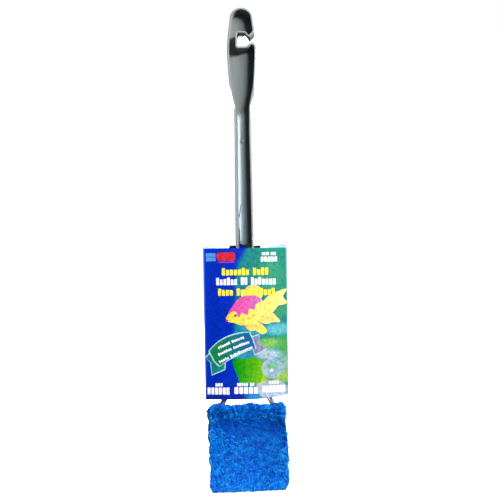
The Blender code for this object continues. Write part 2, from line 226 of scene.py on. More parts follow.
def nylon_material():
    """Satin blue nylon of the rivets and washers, with faint turning marks and scuffs."""
    look = Look("blue_nylon_look")
    look.colour(look.ramp(look.noise(300), (0.3, linear((6, 62, 140))), (0.7, linear((16, 84, 172)))))
    scuff = look.noise(1500, stretch=(1, 1, 0.3))
    look.roughness(scuff, (0.35, 0.38), (0.7, 0.60))
    look.bump(scuff, 0.12, 0.0001)
    return look.mat


def adhesive_material():
    """Milky hot-melt film, uneven and full of small bubbles."""
    look = Look("adhesive_look", Subsurface_Weight=0.2, Subsurface_Scale=0.001)
    cloud = look.noise(260, detail=4, rough=0.6)
    look.colour(look.ramp(cloud, (0.3, (0.55, 0.60, 0.58)), (0.7, (0.80, 0.82, 0.76))))
    look.roughness(cloud, (0.3, 0.25), (0.7, 0.50))
    look.bump(cloud, 0.4, 0.0004)
    return look.mat


def glue_material():
    """Dried white glue with a skin that has shrunk a little."""
    look = Look("white_glue_look")
    skin = look.noise(500, distortion=0.6)
    look.colour(look.ramp(skin, (0.3, (0.74, 0.72, 0.64)), (0.7, (0.86, 0.85, 0.80))))
    look.roughness(skin, (0.3, 0.30), (0.7, 0.55))
    look.bump(skin, 0.35, 0.0003)
    return look.mat


# ---------------------------------------------------------------- small geometry helpers


def mesh_object(name, vertices, faces, materials, body):
    """A smooth mesh object from points in millimetres, riding on a body."""
    mesh = bpy.data.meshes.new(name)
    mesh.from_pydata((np.asarray(vertices, float) * MM).tolist(), [], faces)
    mesh.update()
    for material in materials:
        mesh.materials.append(material)
    mesh.shade_smooth()
    obj = bpy.data.objects.new(name, mesh)
    bpy.context.scene.collection.objects.link(obj)
    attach(obj, body)
    return obj


def face_outwards(mesh):
    """Turns the faces of a closed mesh outwards."""
    edit = bmesh.new()
    edit.from_mesh(mesh)
    bmesh.ops.recalc_face_normals(edit, faces=edit.faces)
    edit.to_mesh(mesh)
    edit.free()


def depth_inside(points, polygon):
    """Signed distance from each point to a polygon: positive inside it."""
    points = np.asarray(points, float)
    corners = np.asarray(polygon, float)
    best = np.full(len(points), np.inf)
    inside = np.zeros(len(points), bool)
    for (ax, az), (bx, bz) in zip(corners, np.roll(corners, -1, axis=0)):
        ex, ez = bx - ax, bz - az
        px, pz = points[:, 0] - ax, points[:, 1] - az
        t = np.clip((px * ex + pz * ez) / (ex * ex + ez * ez), 0, 1)
        best = np.minimum(best, (px - t * ex) ** 2 + (pz - t * ez) ** 2)
        if az != bz:
            crosses = (az > points[:, 1]) != (bz > points[:, 1])
            inside ^= crosses & (points[:, 0] < ax + (points[:, 1] - az) * ex / ez)
    return np.where(inside, 1, -1) * np.sqrt(best)


class Drawing:
    """Points and lines in a plane, to be filled with triangles. Each point carries one value."""

    def __init__(self):
        self.points, self.edges, self.values, self.borders = [], [], [], []

    def dots(self, points, values=None):
        self.points += [tuple(p) for p in points]
        self.values += [0.0] * len(points) if values is None else list(values)

    def line(self, points, values=None, closed=True, border=False):
        first, count = len(self.points), len(points)
        self.dots(points, values)
        self.edges += [(first + i, first + (i + 1) % count) for i in range(count if closed else count - 1)]
        if border:
            self.borders.append(list(range(first, first + count)))

    def fill(self):
        """The filled plane: its points, the drawn point behind each of them (or None), the triangles that
        an odd number of borders goes round, and the borders, all by the new points' numbers."""
        coords, _, faces, origins, _, _ = geometry.delaunay_2d_cdt(
            [Vector(p) for p in self.points], self.edges, [], 1, 1e-5
        )
        flat = np.array([tuple(c) for c in coords])
        centres = np.array([flat[list(face)].mean(axis=0) for face in faces])
        kept = np.zeros(len(faces), bool)
        for border in self.borders:
            kept ^= depth_inside(centres, [self.points[i] for i in border]) > 0
        faces = np.array([tuple(face) for face, keep in zip(faces, kept) if keep])
        used = np.unique(faces)
        number = {old: new for new, old in enumerate(used)}
        drawn = [origins[old][0] if origins[old] else None for old in used]
        new_number = {point: number[old] for old in used for point in origins[old]}
        faces = [tuple(number[i] for i in face) for face in faces.tolist()]
        return flat[used], drawn, faces, [[new_number[i] for i in border] for border in self.borders]


def joined_sides(front, back):
    """Four-sided faces between two borders that have the same number of points."""
    count = len(front)
    return [(front[i], front[(i + 1) % count], back[(i + 1) % count], back[i]) for i in range(count)]


# ---------------------------------------------------------------- the handle

GRIP_STATIONS = (  # drop, half width
    (0, 9.8), (13, 11.1), (24, 12.5), (40, 13.6), (58, 12.9), (73, 11.7), (84, 9.6), (94, 7.8), (110, 7.7),
    (217, 8.3), (309, 7.4),
)
CAP_DROP, STEM_DROP = 8.2, 110  # the cap ends and the plain stem starts
FORK_DROP, FORK_RADIUS, ARM_WIDTH, ARM_START = 309.0, 106.0, 4.6, 5.1
WINDOW_TOP, CROSSBAR_TOP, CROSSBAR_BOTTOM = 323.0, 382.6, 393.8
CROSSBAR_HALF, CROSSBAR_CORNER = 30.5, 3.0
HOOK_SLOT = (  # across, drop, corner radius
    (-4.1, 23.5, 1.3), (3.0, 23.5, 1.6), (6.6, 28.3, 2.5), (11.6, 23.4, 1.0), (13.0, 19.8, 0), (20, 19.8, 0),
    (20, 39.4, 0), (14.0, 39.4, 0), (13.0, 35.0, 2.0), (10.5, 32.6, 1.4), (8.2, 33.4, 2.0),
    (4.6, 36.3, 2.5), (-4.1, 36.3, 1.3),
)
WALL = 1.7
EDGE = 0.42  # radius of the moulding's outer edges
GRIP_FLOOR_DEPTH, STEM_FLOOR_DEPTH = 8.2, 5.6
STEM_FLOOR_DROP = 96.4  # where the grip's deep floor steps up to the stem's
STEM_FLOOR = height(STEM_FLOOR_DROP)
TAPER_START, TAPER_END, HEAD_HALF_DEPTH = height(296), height(375), 3.0
CHANNEL_END = height(352)  # below this the arms are solid, and well rounded
ARM_EDGE = 1.9
PIN_X, PIN_Z = -0.4, height(123.5)
PIN_PROFILE = (  # radius, rise: a raised ring round a low dome
    (2.6, 0.0), (2.25, 0.5), (1.8, 0.5), (1.5, -0.1), (1.1, 0.15), (0.7, 0.32), (0.3, 0.38),
)
WELD_LINE = (  # drop, across
    (183.7, -3.0), (190.5, -4.2), (197.8, -5.1), (206.0, -5.0), (214.0, -4.9), (224.0, -5.1),
)
WELD_PROFILE = ((-0.65, 0.0), (-0.2, -1.3), (0.2, -1.3), (0.6, 0.0))  # aside, rise


def smooth_curve(stations, value):
    """A smooth curve through the stations, flat at its ends, read at value."""
    slopes = [0.0]
    for (x0, y0), (x1, y1), (x2, y2) in zip(stations, stations[1:], stations[2:]):
        before, after = (y1 - y0) / (x1 - x0), (y2 - y1) / (x2 - x1)
        slopes.append(2 * before * after / (before + after) if before * after > 0 else 0.0)
    slopes.append(slopes[-1])
    for (here, there), s0, s1 in zip(zip(stations, stations[1:]), slopes, slopes[1:]):
        if value <= there[0]:
            break
    run = there[0] - here[0]
    t = min(max((value - here[0]) / run, 0), 1)
    rise = (3 - 2 * t) * t * t
    return here[1] + rise * (there[1] - here[1]) + run * t * (1 - t) * ((1 - t) * s0 - t * s1)


def arm_centre(drop):
    return ARM_START + max(drop - FORK_DROP, 0) ** 2 / (2 * FORK_RADIUS)


def half_arm(drop):
    return ARM_WIDTH / 2 * math.hypot(1, max(drop - FORK_DROP, 0) / FORK_RADIUS)


def half_width(drop):
    if drop > FORK_DROP:
        return min(arm_centre(drop) + half_arm(drop), CROSSBAR_HALF)
    width = smooth_curve(GRIP_STATIONS, drop)
    return width * math.sqrt(1 - (1 - drop / CAP_DROP) ** 2) if drop < CAP_DROP else width


def mirrored(right_side):
    return right_side + [(-x, z) for x, z in reversed(right_side) if x > 1e-6]


def outer_outline():
    cap = [CAP_DROP * (1 - math.cos(a)) for a in steps(0, math.pi / 2, 20)]
    bar_drop = FORK_DROP + math.sqrt(2 * FORK_RADIUS * (CROSSBAR_HALF - ARM_START - half_arm(CROSSBAR_TOP)))
    along = cap + steps(CAP_DROP, STEM_DROP, 60)[1:]
    along += steps(STEM_DROP, FORK_DROP, 24)[1:] + steps(FORK_DROP, bar_drop, 30)[1:]
    side = [(half_width(drop), height(drop)) for drop in along]
    x, z = CROSSBAR_HALF - CROSSBAR_CORNER, height(CROSSBAR_BOTTOM - CROSSBAR_CORNER)
    turn = steps(0, math.pi / 2, 8)
    side += [(x + CROSSBAR_CORNER * math.cos(a), z - CROSSBAR_CORNER * math.sin(a)) for a in turn]
    return mirrored(side)


def window_outline():
    top = arm_centre(WINDOW_TOP) - half_arm(WINDOW_TOP)
    arch = [(top * math.sin(a), height(WINDOW_TOP) + top * math.cos(a)) for a in steps(0, math.pi / 2, 8)]
    sides = [(arm_centre(d) - half_arm(d), height(d)) for d in steps(WINDOW_TOP, CROSSBAR_TOP, 30)[1:]]
    return mirrored(arch + sides)


def rounded_polygon(corners, turns=8):
    """Points along a polygon whose corners (x, z, radius) are rounded."""
    points = []
    for i, (x, z, radius) in enumerate(corners):
        (x0, z0, _), (x1, z1, _) = corners[i - 1], corners[(i + 1) % len(corners)]
        back, ahead = (x0 - x, z0 - z), (x1 - x, z1 - z)
        l0, l1 = math.hypot(*back), math.hypot(*ahead)
        back, ahead = (back[0] / l0, back[1] / l0), (ahead[0] / l1, ahead[1] / l1)
        angle = math.acos(max(-1, min(1, back[0] * ahead[0] + back[1] * ahead[1])))
        if radius <= 0 or angle > math.pi - 0.02:
            points.append((x, z))
            continue
        reach = min(radius / math.tan(angle / 2), 0.49 * l0, 0.49 * l1)
        for t in steps(0, 1, turns):
            a, b = reach * (1 - t) ** 2, reach * t**2
            points.append((x + back[0] * a + ahead[0] * b, z + back[1] * a + ahead[1] * b))
    return points


HANDLE_OUTLINE = outer_outline()
HOOK_OUTLINE = rounded_polygon([(x, height(drop), radius) for x, drop, radius in HOOK_SLOT])
WINDOW_OUTLINE = window_outline()


def wall_depth(points):
    """How far each point (x, z) is inside the handle's material, from its nearest outline."""
    points = np.asarray(points, float)
    depth = depth_inside(points, HANDLE_OUTLINE)
    near_hook, near_fork = points[:, 1] > height(60), points[:, 1] < height(300)
    for near, hole in ((near_hook, HOOK_OUTLINE), (near_fork, WINDOW_OUTLINE)):
        if near.any():
            depth[near] = np.minimum(depth[near], -depth_inside(points[near], hole))
    return depth


def contours(field, xs, zs, level):
    """Closed loops where the sampled field crosses level, by marching squares."""
    above = field > level

    def crossing(first, second):
        (i0, j0), (i1, j1) = first, second
        t = (level - field[i0, j0]) / (field[i1, j1] - field[i0, j0])
        return xs[i0] + t * (xs[i1] - xs[i0]), zs[j0] + t * (zs[j1] - zs[j0])

    corner = above[:-1, :-1]
    crossed = (corner != above[1:, :-1]) | (corner != above[:-1, 1:]) | (corner != above[1:, 1:])
    follow = {}
    for i, j in np.argwhere(crossed):
        corners = [(i, j), (i + 1, j), (i + 1, j + 1), (i, j + 1)]
        rising, falling = [], []
        for first, second in zip(corners, corners[1:] + corners[:1]):
            if above[first] != above[second]:
                (falling if above[first] else rising).append(tuple(sorted((first, second))))
        follow.update(zip(rising, falling))
    loops = []
    while follow:
        start, here = follow.popitem()
        loop = [start]
        while here != start:
            loop.append(here)
            here = follow.pop(here)
        if len(loop) >= 8:
            loops.append(np.array([crossing(*pair) for pair in loop]))
    return loops


def resampled(loop, spacing):
    """The closed loop with evenly spaced points."""
    closed = np.vstack([loop, loop[:1]])
    lengths = np.r_[0, np.cumsum(np.hypot(*np.diff(closed, axis=0).T))]
    count = max(8, round(lengths[-1] / spacing))
    along = np.linspace(0, lengths[-1], count, endpoint=False)
    return np.c_[np.interp(along, lengths, closed[:, 0]), np.interp(along, lengths, closed[:, 1])]


def half_thickness(z):
    """Half the handle's thickness: thinner where the pad holds it."""
    share = np.clip((TAPER_START - z) / (TAPER_START - TAPER_END), 0, 1)
    return HALF_DEPTH + (HEAD_HALF_DEPTH - HALF_DEPTH) * share


def floor_depth(z, inside):
    """How deep the open channel is: a dished floor in the grip and a flatter, shallower one in the stem."""
    from_wall = np.maximum(inside - WALL, 0)
    dish = 0.35 * smoothstep(height(48), height(70), z)
    grip = GRIP_FLOOR_DEPTH - dish * (1 - np.minimum(from_wall / 8, 1)) ** 2
    stem = half_thickness(z) + STEM_FLOOR_DEPTH - HALF_DEPTH
    return np.where(z > STEM_FLOOR, grip, stem) * (z > CHANNEL_END)


def edge_round(z, inside):
    """How far the rounded outer edge lies behind the flat face. The solid arms are rounder than the rest."""
    radius = EDGE + (ARM_EDGE - EDGE) * smoothstep(CHANNEL_END + 10, CHANNEL_END, z)
    short = radius - np.clip(inside, 0, radius)
    return radius - np.sqrt(radius**2 - short**2)


# Rings inside the outline: distance, share of the channel's depth, spacing.
FRONT_RINGS = [
    (0.03, 0.0, 0.75), (0.14, 0.0, 0.75), (EDGE, 0.0, 0.75), (0.8, 0.0, 0.75), (WALL - 0.40, 0.0, 0.75),
    (WALL - 0.14, 0.0, 0.75), (WALL, 0.06, 0.75), (WALL + 0.14, 1.0, 0.75), (WALL + 0.45, 1.0, 0.8),
]
FRONT_RINGS += [(WALL + distance, 1.0, 1.0) for distance in (1.1, 1.8, 2.7, 3.8, 5.2, 7.0, 9.0)]
BACK_RINGS = [(0.14, 0.75), (EDGE, 0.75), (0.9, 0.75), (1.5, 0.9), (2.2, 1.2)]


def front_of(points, inside, lift=0.0):
    """Y of the handle's front surface at the points."""
    share = np.interp(inside, [ring[0] for ring in FRONT_RINGS], [ring[1] for ring in FRONT_RINGS])
    lip = 0.14 * fall_off(inside, WALL, 0.12)
    z = np.asarray(points, float)[:, 1]
    return -half_thickness(z) + edge_round(z, inside) + lip + share * floor_depth(z, inside) - lift


def back_of(points, inside):
    z = np.asarray(points, float)[:, 1]
    return half_thickness(z) - edge_round(z, inside)


def draw_front(field, xs, zs):
    """The handle's front: rings from its edge to the channel's floor, and the marks on the floor."""
    front = Drawing()
    for number, (distance, _, spacing) in enumerate(FRONT_RINGS):
        for loop in contours(field, xs, zs, distance):
            loop = resampled(loop, spacing)
            front.line(loop, front_of(loop, np.full(len(loop), distance)), border=number == 0)
    # The sharp line where the grip's floor steps up to the stem's.
    reach = half_width(STEM_FLOOR_DROP) - WALL - 0.4
    for z in (STEM_FLOOR + 0.16, STEM_FLOOR - 0.16):
        row = np.array([(x, z) for x in np.arange(-reach, reach, 0.45)])
        front.line(row, front_of(row, wall_depth(row)), closed=False)
    # The round mark of an ejector pin.
    for radius, lift in PIN_PROFILE:
        around = steps(0, 2 * math.pi, 28)[:-1]
        ring = np.array([(PIN_X + radius * math.cos(a), PIN_Z + radius * math.sin(a)) for a in around])
        front.line(ring, front_of(ring, wall_depth(ring), lift))
    # An open weld line down the stem's floor.
    for aside, lift in WELD_PROFILE:
        along = steps(WELD_LINE[0][0], WELD_LINE[-1][0], 60)
        row = np.array([(smooth_curve(WELD_LINE, drop) + aside, height(drop)) for drop in along])
        front.line(row, front_of(row, wall_depth(row), lift), closed=False)
    return front


def draw_back(front, field, xs, zs):
    """The handle's flat back, with the same borders as its front."""
    back = Drawing()
    for border in front.borders:
        loop = np.array([front.points[i] for i in border])
        back.line(loop, back_of(loop, FRONT_RINGS[0][0]), border=True)
    for distance, spacing in BACK_RINGS:
        for loop in contours(field, xs, zs, distance):
            loop = resampled(loop, spacing)
            back.line(loop, back_of(loop, distance))
    return back


def raised(drawing, drawn, plain):
    """The plain heights, with the drawn points' own values in their places."""
    made = plain.copy()
    for i, source in enumerate(drawn):
        if source is not None:
            made[i] = drawing.values[source]
    return made


def build_handle():
    pitch, margin = 0.4, 1.5
    outline = np.array(HANDLE_OUTLINE)
    xs, zs = (np.arange(along.min() - margin, along.max() + margin, pitch) for along in outline.T)
    grid_x, grid_z = np.meshgrid(xs, zs, indexing="ij")
    field = wall_depth(np.c_[grid_x.ravel(), grid_z.ravel()]).reshape(grid_x.shape)

    front = draw_front(field, xs, zs)
    flat, drawn, faces, borders = front.fill()
    plain = front_of(flat, wall_depth(flat))
    y = raised(front, drawn, plain)
    sunk = (y - plain) * (wall_depth(flat) > WALL + 1.0)
    back = draw_back(front, field, xs, zs)
    back_flat, back_drawn, back_faces, back_borders = back.fill()
    back_y = raised(back, back_drawn, back_of(back_flat, wall_depth(back_flat)))
    vertices = np.vstack([np.c_[flat[:, 0], y, flat[:, 1]], np.c_[back_flat[:, 0], back_y, back_flat[:, 1]]])
    first = len(flat)
    faces += [tuple(first + i for i in face) for face in back_faces]
    for border, back_border in zip(borders, back_borders):
        faces += joined_sides(border, [first + i for i in back_border])

    obj = mesh_object("moulded_handle", vertices, faces, [plastic_material()], "scrubber")
    face_outwards(obj.data)
    obj.data.set_sharp_from_angle(angle=math.radians(50))
    # Painted light and shade: 1 on the channel's rims and raised marks, a painted highlight, 0 deep in a
    # groove, a painted shade, 0.5 elsewhere.
    on_rim = smoothstep(WALL - 0.05, WALL - 0.3, wall_depth(vertices[:, [0, 2]]))
    on_rim *= (vertices[:, 2] > CHANNEL_END) & (vertices[:, 1] < 0)
    painted_light_and_wear = 0.5 + 0.5 * on_rim
    painted_light_and_wear[:first] += 0.5 * smoothstep(-0.1, -0.4, sunk) - 0.5 * smoothstep(0.4, 0.9, sunk)
    obj.data.attributes.new("painted_light_and_wear", "FLOAT", "POINT").data.foreach_set("value", painted_light_and_wear.astype(np.float32))
    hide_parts("handle")


# ---------------------------------------------------------------- the printed card sleeve

CARD_HALF_WIDTH = 39.1
CARD_TOP, CARD_BOTTOM = 225.0, 366.2
CARD_THICKNESS, CARD_HALF_GAP, CARD_BULGE_HALF = 0.5, 5.6, 14.0
CARD_FRONT_SIDE = -4.4
CARD_BACK_SIDE = ((222, 2.4), (262, -2.6), (330, -2.6), (366.2, 1.2))
CARD_CURL = 2.6  # how far the lower right corner has curled back
FOLD_RISE, FOLD_RUN = 2.5, 11.4  # the fold slopes up to the back panel, which is this much taller
BACK_TOP = CARD_TOP - FOLD_RISE
FRONT_RUN, BACK_RUN = CARD_BOTTOM - CARD_TOP, CARD_BOTTOM - BACK_TOP  # each panel's length
BACK_START = FRONT_RUN + FOLD_RUN
FOLD_MIDDLE = FRONT_RUN + FOLD_RUN / 2
SHEET_LENGTH = BACK_START + BACK_RUN
CREASE = 0.8  # how far from its middle each crease is rounded
# The dark band inside the back panel is painted shade.
PAINTED_SHADE_BAND, PAINTED_SHADE_GREY = 9.0, 0.012  # width and linear shade of the dark band inside the back panel
SLOT_HALF, TAB_HALF, TAB_HEIGHT = 14.8, 5.15, 4.8
TRIM_START, TRIM = 9.0, 3.3  # the lower edge is trimmed askew from here to the right side, by this much


def card_middle(across, run):
    """The middle of the board's thickness, from the flat card: across, and along it from the front panel's
    lower edge, over the fold, to the back panel's lower edge."""
    on_front = run < FOLD_MIDDLE
    drop = np.where(run > FOLD_MIDDLE, BACK_TOP + np.maximum(run - BACK_START, 0), CARD_BOTTOM - run)
    drop = np.where(on_front, np.maximum(drop, CARD_TOP), drop)
    span = CARD_HALF_WIDTH - CARD_BULGE_HALF
    bulge = (1 + np.cos(np.pi * np.clip((np.abs(across) - CARD_BULGE_HALF) / span, 0, 1))) / 2
    back_side = np.array([smooth_curve(CARD_BACK_SIDE, d) for d in drop])
    front = CARD_FRONT_SIDE - (CARD_HALF_GAP + CARD_FRONT_SIDE) * bulge
    back = back_side + (CARD_HALF_GAP - back_side) * bulge
    over = np.clip((run - FRONT_RUN) / FOLD_RUN, 0, 1)
    y = front + (back - front) * over
    z = height(drop)
    z = np.where((over > 0) & (over < 1), height(CARD_TOP) + FOLD_RISE * over, z)
    on_tab = (np.abs(across) <= TAB_HALF + 0.1) & (run > FRONT_RUN) & (run <= FRONT_RUN + TAB_HEIGHT + 0.1)
    y = np.where(on_tab, -CARD_HALF_GAP, y)
    z = np.where(on_tab, height(CARD_TOP) + run - FRONT_RUN, z)
    y += CARD_CURL * smoothstep(25, 42, across) * smoothstep(336, 368, drop)
    return np.stack([across, y, z], axis=1)


def card_faces_of(across, run):
    """The outer and the inner face of the board at points of the flat card. Each crease is softened by
    averaging over its width."""
    near_tab = np.abs(across) < SLOT_HALF
    spread = np.where(near_tab, 0.05, CREASE)
    offsets = (-1, -0.5, 0, 0.5, 1)
    here = np.mean([card_middle(across, run + spread * k) for k in offsets], axis=0)
    at_end = (run < CREASE) | (run > SHEET_LENGTH - CREASE)
    here = np.where(at_end[:, None], card_middle(across, run), here)
    aside = card_middle(across + 0.05, run) - card_middle(across - 0.05, run)
    aside[:, 0] = 0.1
    onward = card_middle(across, run + spread) - card_middle(across, run - spread)
    normal = np.cross(aside, onward)
    normal *= CARD_THICKNESS / 2 / np.linalg.norm(normal, axis=1, keepdims=True)
    return here + normal, here - normal


def curve_through(points, closed=True, per=5):
    """A smooth curve through the points (Catmull-Rom)."""
    p = [np.array(q, float) for q in points]
    count = len(p)
    made = []
    for i in range(count if closed else count - 1):
        if closed:
            a, b, c, d = (p[(i + k) % count] for k in (-1, 0, 1, 2))
        else:
            a, b, c, d = p[max(i - 1, 0)], p[i], p[i + 1], p[min(i + 2, count - 1)]
        for t in steps(0, 1, per)[:-1]:
            curve = 2 * b + (c - a) * t + (2 * a - 5 * b + 4 * c - d) * t**2 + (3 * b - a - 3 * c + d) * t**3
            made.append(tuple(curve / 2))
    return made if closed else made + [tuple(p[-1])]


def disc(x, drop, across, down=None):
    down = down or across
    return [(x + across * math.cos(a), drop + down * math.sin(a)) for a in steps(0, 2 * math.pi, 20)[:-1]]


def bar(left, right, top, bottom, corner=0.5):
    corners = [(left, top, corner), (right, top, corner), (right, bottom, corner), (left, bottom, corner)]
    return rounded_polygon(corners, turns=2)


def word_blocks(left, right, top, bottom, words, place=lambda x, drop: (x, drop), even=False):
    """Plain blocks in place of lettering: a row of upright bars, in groups as long as the words given, all of
    one height or of a few."""
    gap = 0.8
    unit = (right - left) / (sum(words) + gap * (len(words) - 1))
    tall = np.random.default_rng(sum(words) + len(words))
    blocks, x = [], left
    for word in words:
        for letter in range(word):
            rise = 0 if even or letter == 0 else (bottom - top) * tall.choice([0.0, 0.18, 0.22])
            outline = bar(x + 0.07 * unit, x + 0.88 * unit, top + rise, bottom, corner=0.16 * unit)
            blocks.append([place(*point) for point in outline])
            x += unit
        x += gap * unit
    return blocks


def along_line(start, end, sag):
    """Bends a row of blocks onto a slanted, slightly arched line. X runs 0 to 1, drop from the line down."""

    def place(x, drop):
        (x0, d0), (x1, d1) = start, end
        length = math.hypot(x1 - x0, d1 - d0)
        arch = -4 * sag * x * (1 - x)
        return (
            x0 + (x1 - x0) * x - (d1 - d0) / length * (drop + arch),
            d0 + (d1 - d0) * x + (x1 - x0) / length * (drop + arch),
        )

    return place


# The soft ground, laid down in order: middle (x, drop), reach (across, down), colour, strength.
GROUND = (
    ((30, 236), (28, 28), (40, 136, 116), 0.8), ((24, 254), (18, 22), (58, 148, 112), 0.75),
    ((34, 276), (12, 14), (40, 128, 104), 0.85), ((4, 276), (20, 24), (20, 110, 150), 0.7),
    ((28, 284), (16, 9), (72, 152, 108), 0.7), ((-6, 303), (12, 9), (30, 130, 166), 0.95),
    ((6, 300), (12, 9), (64, 152, 176), 0.8), ((30, 301), (16, 7), (96, 182, 196), 0.95),
    ((22, 314), (15, 6), (128, 184, 90), 0.95), ((35, 316), (8, 11), (82, 168, 76), 0.85),
    ((20, 324.5), (16, 6), (176, 196, 210), 0.95), ((1, 326), (10, 5), (44, 138, 176), 0.95),
    ((-7, 322), (9, 6), (52, 150, 178), 0.8), ((36, 336), (8, 14), (150, 184, 160), 0.85),
    ((15, 338), (9, 9), (132, 190, 74), 0.9), ((33, 346), (12, 7), (150, 188, 74), 0.9),
    ((13, 348), (9, 7), (160, 200, 40), 0.95), ((-2, 356), (12, 6), (20, 92, 176), 0.9),
    ((3, 364), (13, 5), (24, 120, 190), 0.9), ((37, 360), (7, 8), (136, 164, 188), 0.8),
)
DEEP_BLUE, TEAL = (0, 44, 184), (30, 130, 132)
BLUE_BORDER = ((225, 1.0), (238, -7.0), (252, -9.5), (290, -11.5), (330, -12.0), (350, -6.5), (366.2, -3.0))


def ground_colour(x, drop):
    """The printed ground's colour as seen, 0 to 255, at points of the front panel."""
    border = np.interp(drop, *zip(*BLUE_BORDER))
    colour = np.tile(np.array(TEAL, float), (len(x), 1))
    for (x0, d0), (across, down), layer, strength in GROUND:
        share = strength * smoothstep(1.15, 0.45, np.hypot((x - x0) / across, (drop - d0) / down))
        colour += share[:, None] * (np.array(layer, float) - colour)
    blue = smoothstep(3.5, -2.0, x - border)
    colour += blue[:, None] * (np.array(DEEP_BLUE, float) - colour)
    dark = 0.75 * smoothstep(4, -8, x) * smoothstep(345, 366, drop)
    colour += dark[:, None] * (np.array((0, 22, 120), float) - colour)
    return colour


def front_print():
    """What is printed over the ground: outlines (x, drop), colours on their left and right, opacity."""
    white, yellow, pale = (246, 248, 250), (250, 236, 40), (170, 214, 226)
    layers = []

    def lay(outlines, left, right=None, opacity=1.0):
        if isinstance(outlines[0][0], (int, float)):
            outlines = [outlines]
        layers.extend((outline, left, right or left, opacity) for outline in outlines)

    # Blobs of colour on the ground, and a round bubble.
    leaf = [(-13, 329.5), (-4, 328.5), (6, 327), (13, 330), (15, 339), (13, 349), (6, 352), (-5, 351.5),
            (-8.5, 345)]
    lay(curve_through(leaf), (0, 140, 14), (120, 186, 24))
    lay(disc(23.9, 337.5, 9.7), (172, 184, 216), (160, 176, 214), 0.8)
    lay(disc(24.6, 335.6, 5.0, 4.2), (96, 176, 110), (128, 190, 150), 0.8)
    lay(disc(23.1, 339.6, 1.5), white)
    cloud = [(8.5, 353), (14, 350.5), (20, 348.8), (30, 349.5), (36, 353), (37, 358), (34, 362.5),
             (24, 363.5), (17, 365.2), (11, 361)]
    lay(curve_through(cloud), (198, 186, 222), (176, 168, 208), 0.8)

    # A plain fish: fins, body, darker back, cheek spots and eye.
    upper_tail = [(11, 283), (17, 274), (25, 268), (38.6, 263.4), (35, 270.5), (38.8, 277), (30, 279.5),
                  (24, 286)]
    lower_tail = [(12, 282), (21, 283.5), (28.5, 289), (32, 294.5), (25, 294.4), (19, 296), (12, 293)]
    belly_fin = [(-2, 294), (6, 291), (14, 295.5), (19.5, 302.5), (14.6, 305.6), (8.6, 301.8), (3, 302.2)]
    lay(curve_through(upper_tail, per=3), (250, 206, 96), (255, 246, 150))
    lay(curve_through(lower_tail, per=3), (250, 226, 110), (255, 214, 130))
    lay(curve_through(belly_fin, per=3), (246, 196, 96), (255, 240, 110))
    lay(curve_through([(-4, 270), (0, 262.5), (6, 259.4), (13, 261), (16.5, 267), (13, 273), (3, 270)]),
        (226, 206, 110), (240, 220, 120))
    body = [(-18.6, 291), (-16.6, 286), (-12.4, 279.4), (-6, 272), (3, 268.6), (12, 270.6), (17, 277),
            (17, 285.5), (12.6, 292), (4.6, 296.6), (-4.2, 297), (-11.4, 294.6), (-16.4, 293.6)]
    lay(curve_through(body), (252, 214, 60), (255, 238, 130))
    back = [(-17.4, 287.6), (-12.4, 279.4), (-6, 272), (3, 268.6), (11.6, 270.4), (14.6, 275),
            (9.6, 277.4), (8.4, 282.4), (3.4, 281.4), (1.6, 287.4), (-3.6, 285.4), (-6.6, 290),
            (-9.4, 284.2), (-13.6, 284.6)]
    lay(curve_through(back, per=3), (232, 66, 160), (214, 118, 186))
    for x, drop, size in (
        (-2.6, 292.2, 1.5), (2.4, 291, 1.2), (7, 287.6, 1.6), (15.6, 289.4, 1.6), (20.6, 290.2, 1.3),
        (24.4, 291.6, 1.0), (9.6, 297.6, 1.3), (21.6, 276.4, 1.6), (28, 272, 1.2),
    ):
        lay(disc(x, drop, size, size * 0.6), (244, 160, 72), opacity=0.85)
    for x0, d0, x1, d1 in ((14, 300, 17.6, 302.6), (24.6, 271.6, 34, 267), (26.6, 276.4, 34.6, 276.4)):
        lay([(x0, d0 - 0.3), (x1, d1 - 0.15), (x1, d1 + 0.15), (x0, d0 + 0.3)], (236, 170, 60), opacity=0.8)
    lay(disc(-9.9, 287.6, 2.0), (252, 232, 120))
    lay(disc(-9.9, 287.6, 1.35), (60, 20, 30))
    lay(disc(-10.3, 287.2, 0.42), white)
    lay(curve_through([(-18.8, 291.2), (-17, 291.4), (-16.4, 292.6), (-17.8, 293.2)]), (190, 40, 60))

    # A plain banner with folded ends.
    left_end = [(-33.6, 322.6), (-38.0, 327.2), (-33.2, 331.6), (-32.4, 342.6), (-20.8, 337.6),
                (-20.6, 331.6), (-25.2, 334.4), (-29.8, 329.6)]
    right_end = [(4.6, 308.6), (12.4, 306.2), (11.6, 314.6), (18.6, 318.8), (8.0, 324.2), (6.6, 319.4),
                 (8.6, 318.2)]
    band = curve_through([(-34.5, 320.6), (-27, 313.4), (-17.9, 308.2), (-8, 305.0), (2.4, 303.7)], False, 4)
    band += [(5.4, 309.5), (8.4, 319.0)]
    lower = [(4.6, 319.6), (-3.4, 322.0), (-10.4, 325.2), (-17.6, 329.2), (-25, 334.6)]
    band += curve_through(lower, False, 4)
    band += [(-29.9, 329.8)]
    for outline, left, right in (
        (left_end, (16, 110, 130), (30, 150, 120)), (right_end, (128, 130, 176), (160, 150, 182)),
        (band, (18, 140, 62), (24, 92, 176)),
    ):
        middle = np.mean(outline, axis=0)
        spokes = [np.array(p) - middle for p in outline]
        lay([tuple(middle + spoke * (1 + 1.3 / max(np.hypot(*spoke), 6))) for spoke in spokes], pale)
        lay(outline, left, right)
    for start, end, words in (
        ((-26.9, 317.0), (-2.4, 306.9), (6, 6)), ((-27.0, 323.2), (2.4, 311.4), (7, 8)),
        ((-26.3, 330.2), (5.4, 316.2), (5, 11)),
    ):
        lay(word_blocks(0, 1, 0, 2.5, words, along_line(start, end, 0.6)), white)

